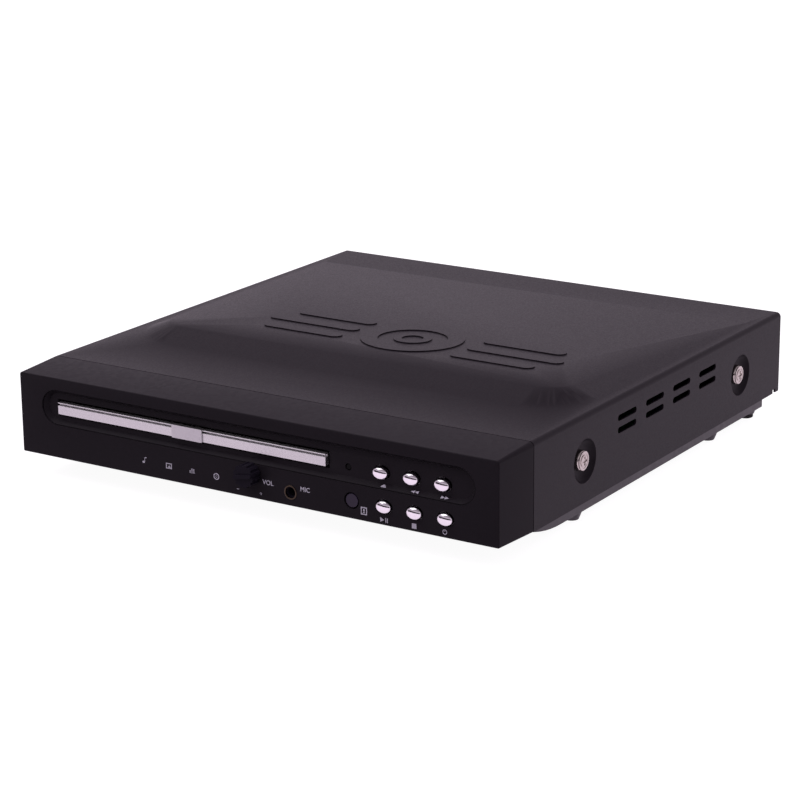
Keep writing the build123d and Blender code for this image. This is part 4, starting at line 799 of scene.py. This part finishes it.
@dataclass
class FrontMarks:
    """White marks printed on the panel.

    Attributes:
        datum: the panel's datum.
        ink_mm: height of the ink over the face.
        letter_mm: size of the lettering.
        type_share: the font's own size against that of its letters.
        weight_mm: how far the letters' outlines are pushed out.
        ring_share: a ring's inner radius against its outer one.
        slope_start: height of the groove's lower edge above the foot.
        slope_degrees: how far the lower bevel leans back from the face.
        on_face: each sign on the flat face, with its X and its height.
        on_slope: each sign on the lower bevel, with its X and its distance up the bevel.
        words: each word on the flat face, with its X and its height.
    """

    datum: Datum
    ink_mm: float = 0.03
    letter_mm: float = 2.35
    type_share: float = 1.1
    weight_mm: float = 0.04
    ring_share: float = 0.72
    slope_start: float = 14.05
    slope_degrees: float = 53.1
    on_face: tuple[tuple[Symbol, float, float], ...] = (
        (Symbol.MINUS, -4.4, 2.95), (Symbol.PLUS, 6.4, 2.95), (Symbol.PLAY_PAUSE, 62.2, 2.5),
        (Symbol.STOP, 75.3, 2.58), (Symbol.POWER, 88.5, 2.7), (Symbol.VOICE, 53.3, 4.45),
        (Symbol.SOUND, -49.4, 6.94), (Symbol.PICTURE, -37.4, 6.52), (Symbol.LEVELS, -26.2, 6.39),
        (Symbol.DISC, -14.5, 6.19))
    on_slope: tuple[tuple[Symbol, float, float], ...] = (
        (Symbol.EJECT, 61.2, 2.0), (Symbol.BACK, 74.65, 2.0), (Symbol.FORWARD, 87.65, 2.0))
    words: tuple[tuple[str, float, float], ...] = (("VOL", 9.8, 7.8), ("MIC", 26.9, 8.0))

    def sign(self, symbol: Symbol) -> bmesh.types.BMesh:
        """Build one sign lying flat, with the thickness of its ink.

        Args:
            symbol: the sign to build.

        Returns:
            The sign's mesh around its own middle.
        """
        mesh = bmesh.new()
        for corners, radius, turn, across, up, right, raised in symbol.value:
            shape = (Matrix.Translation((right * MM, raised * MM, 0))
                     @ Matrix.Diagonal((across, up, 1, 1)) @ Matrix.Rotation(math.radians(turn), 4, "Z"))
            if radius > 0:
                bmesh.ops.create_circle(mesh, cap_ends=True, segments=corners, radius=radius * MM,
                                        matrix=shape)
                continue
            rims = [bmesh.ops.create_circle(mesh, segments=corners, radius=-radius * MM * share,
                                            matrix=shape)["verts"] for share in (1.0, self.ring_share)]
            edges = {edge for rim in rims for vert in rim for edge in vert.link_edges}
            bmesh.ops.bridge_loops(mesh, edges=list(edges))
        grown = bmesh.ops.extrude_face_region(mesh, geom=mesh.faces[:])
        raised_verts = [part for part in grown["geom"] if isinstance(part, bmesh.types.BMVert)]
        bmesh.ops.translate(mesh, verts=raised_verts, vec=(0, 0, self.ink_mm * MM))
        return mesh

    def print_sign(self, name: str, symbol: Symbol, place: Vector, lean: float) -> None:
        """Print a sign.

        Args:
            name: the piece's name.
            symbol: the sign to print.
            place: its middle.
            lean: how far it leans back from upright, in degrees.
        """
        mesh = self.sign(symbol)
        upright = Matrix.Rotation(math.radians(90 - lean), 4, "X")
        bmesh.ops.transform(mesh, matrix=Matrix.Translation(place) @ upright, verts=mesh.verts[:])
        finished(name, mesh, WHITE_INK, "case")

    def print_word(self, word: str, x: float, height: float) -> None:
        """Print a short word on the flat face.

        Args:
            word: the word.
            x: X of its middle, from the datum, in millimetres.
            height: height of its middle over the panel's foot, in millimetres.
        """
        font = bpy.data.curves.new(f"{word}_outline", "FONT")
        font.body = word
        font.size = self.letter_mm * self.type_share * MM
        font.offset = self.weight_mm * MM
        font.align_x = "CENTER"
        font.align_y = "CENTER"
        font.extrude = self.ink_mm * MM
        text = bpy.data.objects.new(f"{word}_outline", font)
        flat = bpy.data.meshes.new_from_object(text)
        mesh = bmesh.new()
        mesh.from_mesh(flat)
        bpy.data.objects.remove(text)
        bpy.data.meshes.remove(flat)
        place = (Matrix.Translation(self.datum.at(x, 0, height))
                 @ Matrix.Rotation(math.radians(90), 4, "X"))
        bmesh.ops.transform(mesh, matrix=place, verts=mesh.verts[:])
        bmesh.ops.remove_doubles(mesh, verts=mesh.verts[:], dist=LEVEL_MM * MM)
        finished(f"print_{word.lower()}", mesh, WHITE_INK, "case")

    def build(self) -> None:
        """Print all signs and words."""
        for symbol, x, height in self.on_face:
            self.print_sign(f"print_{symbol.name.lower()}", symbol, self.datum.at(x, 0, height), 0)
        lean = math.radians(self.slope_degrees)
        for symbol, x, along in self.on_slope:
            place = self.datum.at(x, along * math.sin(lean),
                                  self.slope_start + along * math.cos(lean))
            self.print_sign(f"print_{symbol.name.lower()}", symbol, place, self.slope_degrees)
        for word, x, height in self.words:
            self.print_word(word, x, height)


@dataclass(frozen=True)
class Softbox:
    """One soft rectangular lamp.

    Attributes:
        name: the lamp's name.
        place: where it hangs, in metres.
        aim: the point that it faces, in metres.
        size: its width and height in metres.
        watts: its power.
    """

    name: str
    place: tuple[float, float, float]
    aim: tuple[float, float, float]
    size: tuple[float, float]
    watts: float

    def hang(self) -> None:
        """Hang the lamp in the scene."""
        data = bpy.data.lights.new(self.name, "AREA")
        data.shape = "RECTANGLE"
        data.size, data.size_y = self.size
        data.energy = self.watts
        light = bpy.data.objects.new(self.name, data)
        bpy.context.scene.collection.objects.link(light)
        light.location = self.place
        facing = Vector(self.aim) - Vector(self.place)
        light.rotation_euler = facing.to_track_quat("-Z", "Y").to_euler()


@dataclass
class Studio:
    """White surroundings, soft lamps and the camera.

    A height in the surroundings is the Z of a direction of length 1, and a level of 1 is white.

    Attributes:
        datum: the player's datum.
        focal_px: focal length in pixels of the picture.
        picture_px: width of the picture in pixels.
        sensor_mm: width of the camera's sensor.
        near_m: nearest distance that the camera shows.
        azimuth: how far the camera stands round to the right, in degrees.
        elevation: how far above the horizon it stands, in degrees.
        roll: its roll in degrees.
        target: the point that it looks at, from the datum, in millimetres.
        distance: its distance from that point, in millimetres.
        tone: the faint violet of the light in the surroundings.
        sky_heights: between which heights the mirrored surroundings darken.
        sky_levels: their level at each of these heights.
        front_turn: between which Y of the direction the dark band in front fades in.
        band_heights: between which heights that band fades in, from its top down.
        band_level: the level in the band.
        soft_height: the height at which the soft light on dull surfaces is full.
        soft_levels: the soft light's level at the horizon and at that height.
        floor_m: half the width of the floor.
        floor_dull: colour of the floor as it lights the player.
        floor_shown: colour of the lit part of the floor as it is seen.
        floor_glow: the level that is added to the floor as it is seen.
        lamps: the soft lamps.
    """

    datum: Datum
    focal_px: float = 2601.98
    picture_px: float = 800
    sensor_mm: float = 36.0
    near_m: float = 0.05
    azimuth: float = 32.807
    elevation: float = 16.823
    roll: float = -0.529
    target: tuple[float, float, float] = (5.179, 100.0, 13.984)
    distance: float = 1066.607
    tone: tuple[float, float, float, float] = (1.0, 0.87, 1.0, 1.0)
    sky_heights: tuple[float, float] = (0.22, 0.75)
    sky_levels: tuple[float, float] = (0.92, 0.34)
    front_turn: tuple[float, float] = (-0.1, -0.4)
    band_heights: tuple[float, float] = (0.36, 0.28)
    band_level: float = 0.05
    soft_height: float = 0.7
    soft_levels: tuple[float, float] = (0.1, 0.95)
    floor_m: float = 6.0
    floor_dull: str = "6a666b"
    floor_shown: str = "8a868b"
    floor_glow: float = 0.94
    lamps: tuple[Softbox, ...] = (
        Softbox("overhead_softbox", (-0.55, -0.35, 1.2), (0, 0, 0.03), (1.2, 1.2), 8.0),
        Softbox("side_softbox", (1.5, -0.3, 0.7), (0, 0, 0.02), (0.9, 0.9), 0.8))

    def cast(self, tree: bpy.types.NodeTree, rays: bpy.types.Node) -> bpy.types.NodeSocket:
        """Tint the surroundings for everything but the camera.

        Args:
            tree: the node tree of the world or of the floor.
            rays: its Light Path node.

        Returns:
            The socket of the colour.
        """
        mixed = add_node(tree, "ShaderNodeMix",
                         {"data_type": "RGBA", 6: self.tone, 7: (1.0, 1.0, 1.0, 1.0)},
                         {0: rays.outputs["Is Camera Ray"]})
        return mixed.outputs[2]

    def camera(self) -> None:
        """Stand the camera where the picture was taken from."""
        turn, rise = math.radians(self.azimuth), math.radians(self.elevation)
        right = Vector((math.cos(turn), math.sin(turn), 0))
        back = Vector((math.sin(turn) * math.cos(rise), -math.cos(turn) * math.cos(rise),
                       math.sin(rise)))
        pose = Matrix((right, back.cross(right), back)).transposed().to_4x4()
        pose = pose @ Matrix.Rotation(math.radians(self.roll), 4, "Z")
        place = self.datum.at(*self.target) + back * self.distance * MM
        lens = bpy.data.cameras.new("camera")
        lens.sensor_width = self.sensor_mm
        lens.lens = self.focal_px * self.sensor_mm / self.picture_px
        lens.clip_start = self.near_m
        view = bpy.data.objects.new("camera", lens)
        bpy.context.scene.collection.objects.link(view)
        view.matrix_world = Matrix.Translation(place) @ pose
        bpy.context.scene.camera = view

    @staticmethod
    def ramp(tree: bpy.types.NodeTree, value: bpy.types.NodeSocket, start: tuple[float, float],
             levels: tuple[float, float] = (0.0, 1.0)) -> bpy.types.NodeSocket:
        """Lead a value from one level to another.

        Args:
            tree: the node tree.
            value: the socket of the value.
            start: the value where the ramp starts, and where it ends.
            levels: the level at each of them.

        Returns:
            The socket of the level.
        """
        node = add_node(tree, "ShaderNodeMapRange",
                        {"From Min": start[0], "From Max": start[1],
                         "To Min": levels[0], "To Max": levels[1]}, {"Value": value})
        return node.outputs["Result"]

    def world(self) -> None:
        """White for the camera; soft light from above; for gloss pale behind and dark low in front."""
        world = bpy.data.worlds.new("white_studio")
        bpy.context.scene.world = world
        world.use_nodes = True
        tree = world.node_tree
        tree.nodes.clear()
        way = add_node(tree, "ShaderNodeTexCoord")
        split = add_node(tree, "ShaderNodeSeparateXYZ", {}, {0: way.outputs["Generated"]})
        overhead = self.ramp(tree, split.outputs["Z"], self.sky_heights, self.sky_levels)
        before = self.ramp(tree, split.outputs["Y"], self.front_turn)
        low = self.ramp(tree, split.outputs["Z"], self.band_heights)
        band = add_node(tree, "ShaderNodeMath", {"operation": "MULTIPLY"}, {0: before, 1: low})
        open_sky = self.ramp(tree, band.outputs["Value"], (0.0, 1.0), (1.0, self.band_level))
        shaped = add_node(tree, "ShaderNodeMath", {"operation": "MULTIPLY"}, {0: overhead, 1: open_sky})
        rays = add_node(tree, "ShaderNodeLightPath")
        seen = add_node(tree, "ShaderNodeMath", {"operation": "ADD", "use_clamp": True},
                        {0: rays.outputs["Is Glossy Ray"], 1: rays.outputs["Is Transmission Ray"]})
        soft = self.ramp(tree, split.outputs["Z"], (0.0, self.soft_height), self.soft_levels)
        level = add_node(tree, "ShaderNodeMix", {"data_type": "FLOAT"},
                         {0: seen.outputs["Value"], 2: soft, 3: shaped.outputs["Value"]})
        strength = add_node(tree, "ShaderNodeMath", {"operation": "MAXIMUM"},
                            {0: level.outputs[0], 1: rays.outputs["Is Camera Ray"]})
        ground = add_node(tree, "ShaderNodeBackground", {},
                          {"Strength": strength.outputs["Value"], "Color": self.cast(tree, rays)})
        add_node(tree, "ShaderNodeOutputWorld", {}, {"Surface": ground.outputs["Background"]})

    def floor(self) -> None:
        """A pale floor that shows white, and keeps the shadow under the player."""
        mesh = bmesh.new()
        bmesh.ops.create_grid(mesh, x_segments=1, y_segments=1, size=self.floor_m)
        data = bpy.data.meshes.new("studio_floor")
        mesh.to_mesh(data)
        mesh.free()
        floor = bpy.data.objects.new("studio_floor", data)
        bpy.context.scene.collection.objects.link(floor)
        paper = bpy.data.materials.new("white_paper_floor")
        paper.use_nodes = True
        tree = paper.node_tree
        tree.nodes.clear()
        rays = add_node(tree, "ShaderNodeLightPath")
        seen = add_node(tree, "ShaderNodeMath", {"operation": "ADD"},
                        {0: rays.outputs["Is Camera Ray"], 1: rays.outputs["Is Glossy Ray"]})
        shown = add_node(tree, "ShaderNodeMath", {"operation": "ADD", "use_clamp": True},
                         {0: seen.outputs["Value"], 1: rays.outputs["Is Transmission Ray"]})
        dull = add_node(tree, "ShaderNodeBsdfDiffuse", {"Color": linear(self.floor_dull)})
        lit = add_node(tree, "ShaderNodeBsdfDiffuse", {"Color": linear(self.floor_shown)})
        glow = add_node(tree, "ShaderNodeEmission", {"Strength": self.floor_glow},
                        {"Color": self.cast(tree, rays)})
        bright = add_node(tree, "ShaderNodeAddShader", {},
                          {0: lit.outputs["BSDF"], 1: glow.outputs["Emission"]})
        mixed = add_node(tree, "ShaderNodeMixShader", {},
                         {0: shown.outputs["Value"], 1: dull.outputs["BSDF"],
                          2: bright.outputs["Shader"]})
        add_node(tree, "ShaderNodeOutputMaterial", {}, {"Surface": mixed.outputs["Shader"]})
        data.materials.append(paper)

    def build(self) -> None:
        """Set up the surroundings, the lamps, the camera and the view."""
        self.world()
        self.floor()
        for lamp in self.lamps:
            lamp.hang()
        self.camera()
        bpy.context.scene.view_settings.view_transform = "Standard"


def main() -> None:
    """Dress the player and set up the studio."""
    logging.basicConfig(level=logging.INFO, format="%(name)s: %(message)s")
    datum = Datum.from_frame()
    NodeFinishes.of_the_player().dress()
    Housing().build()
    TrayDoor().build()
    ScrewHeads().build()
    FrontMarks(datum).build()
    Studio(datum).build()


if __name__ == "__main__":
    main()
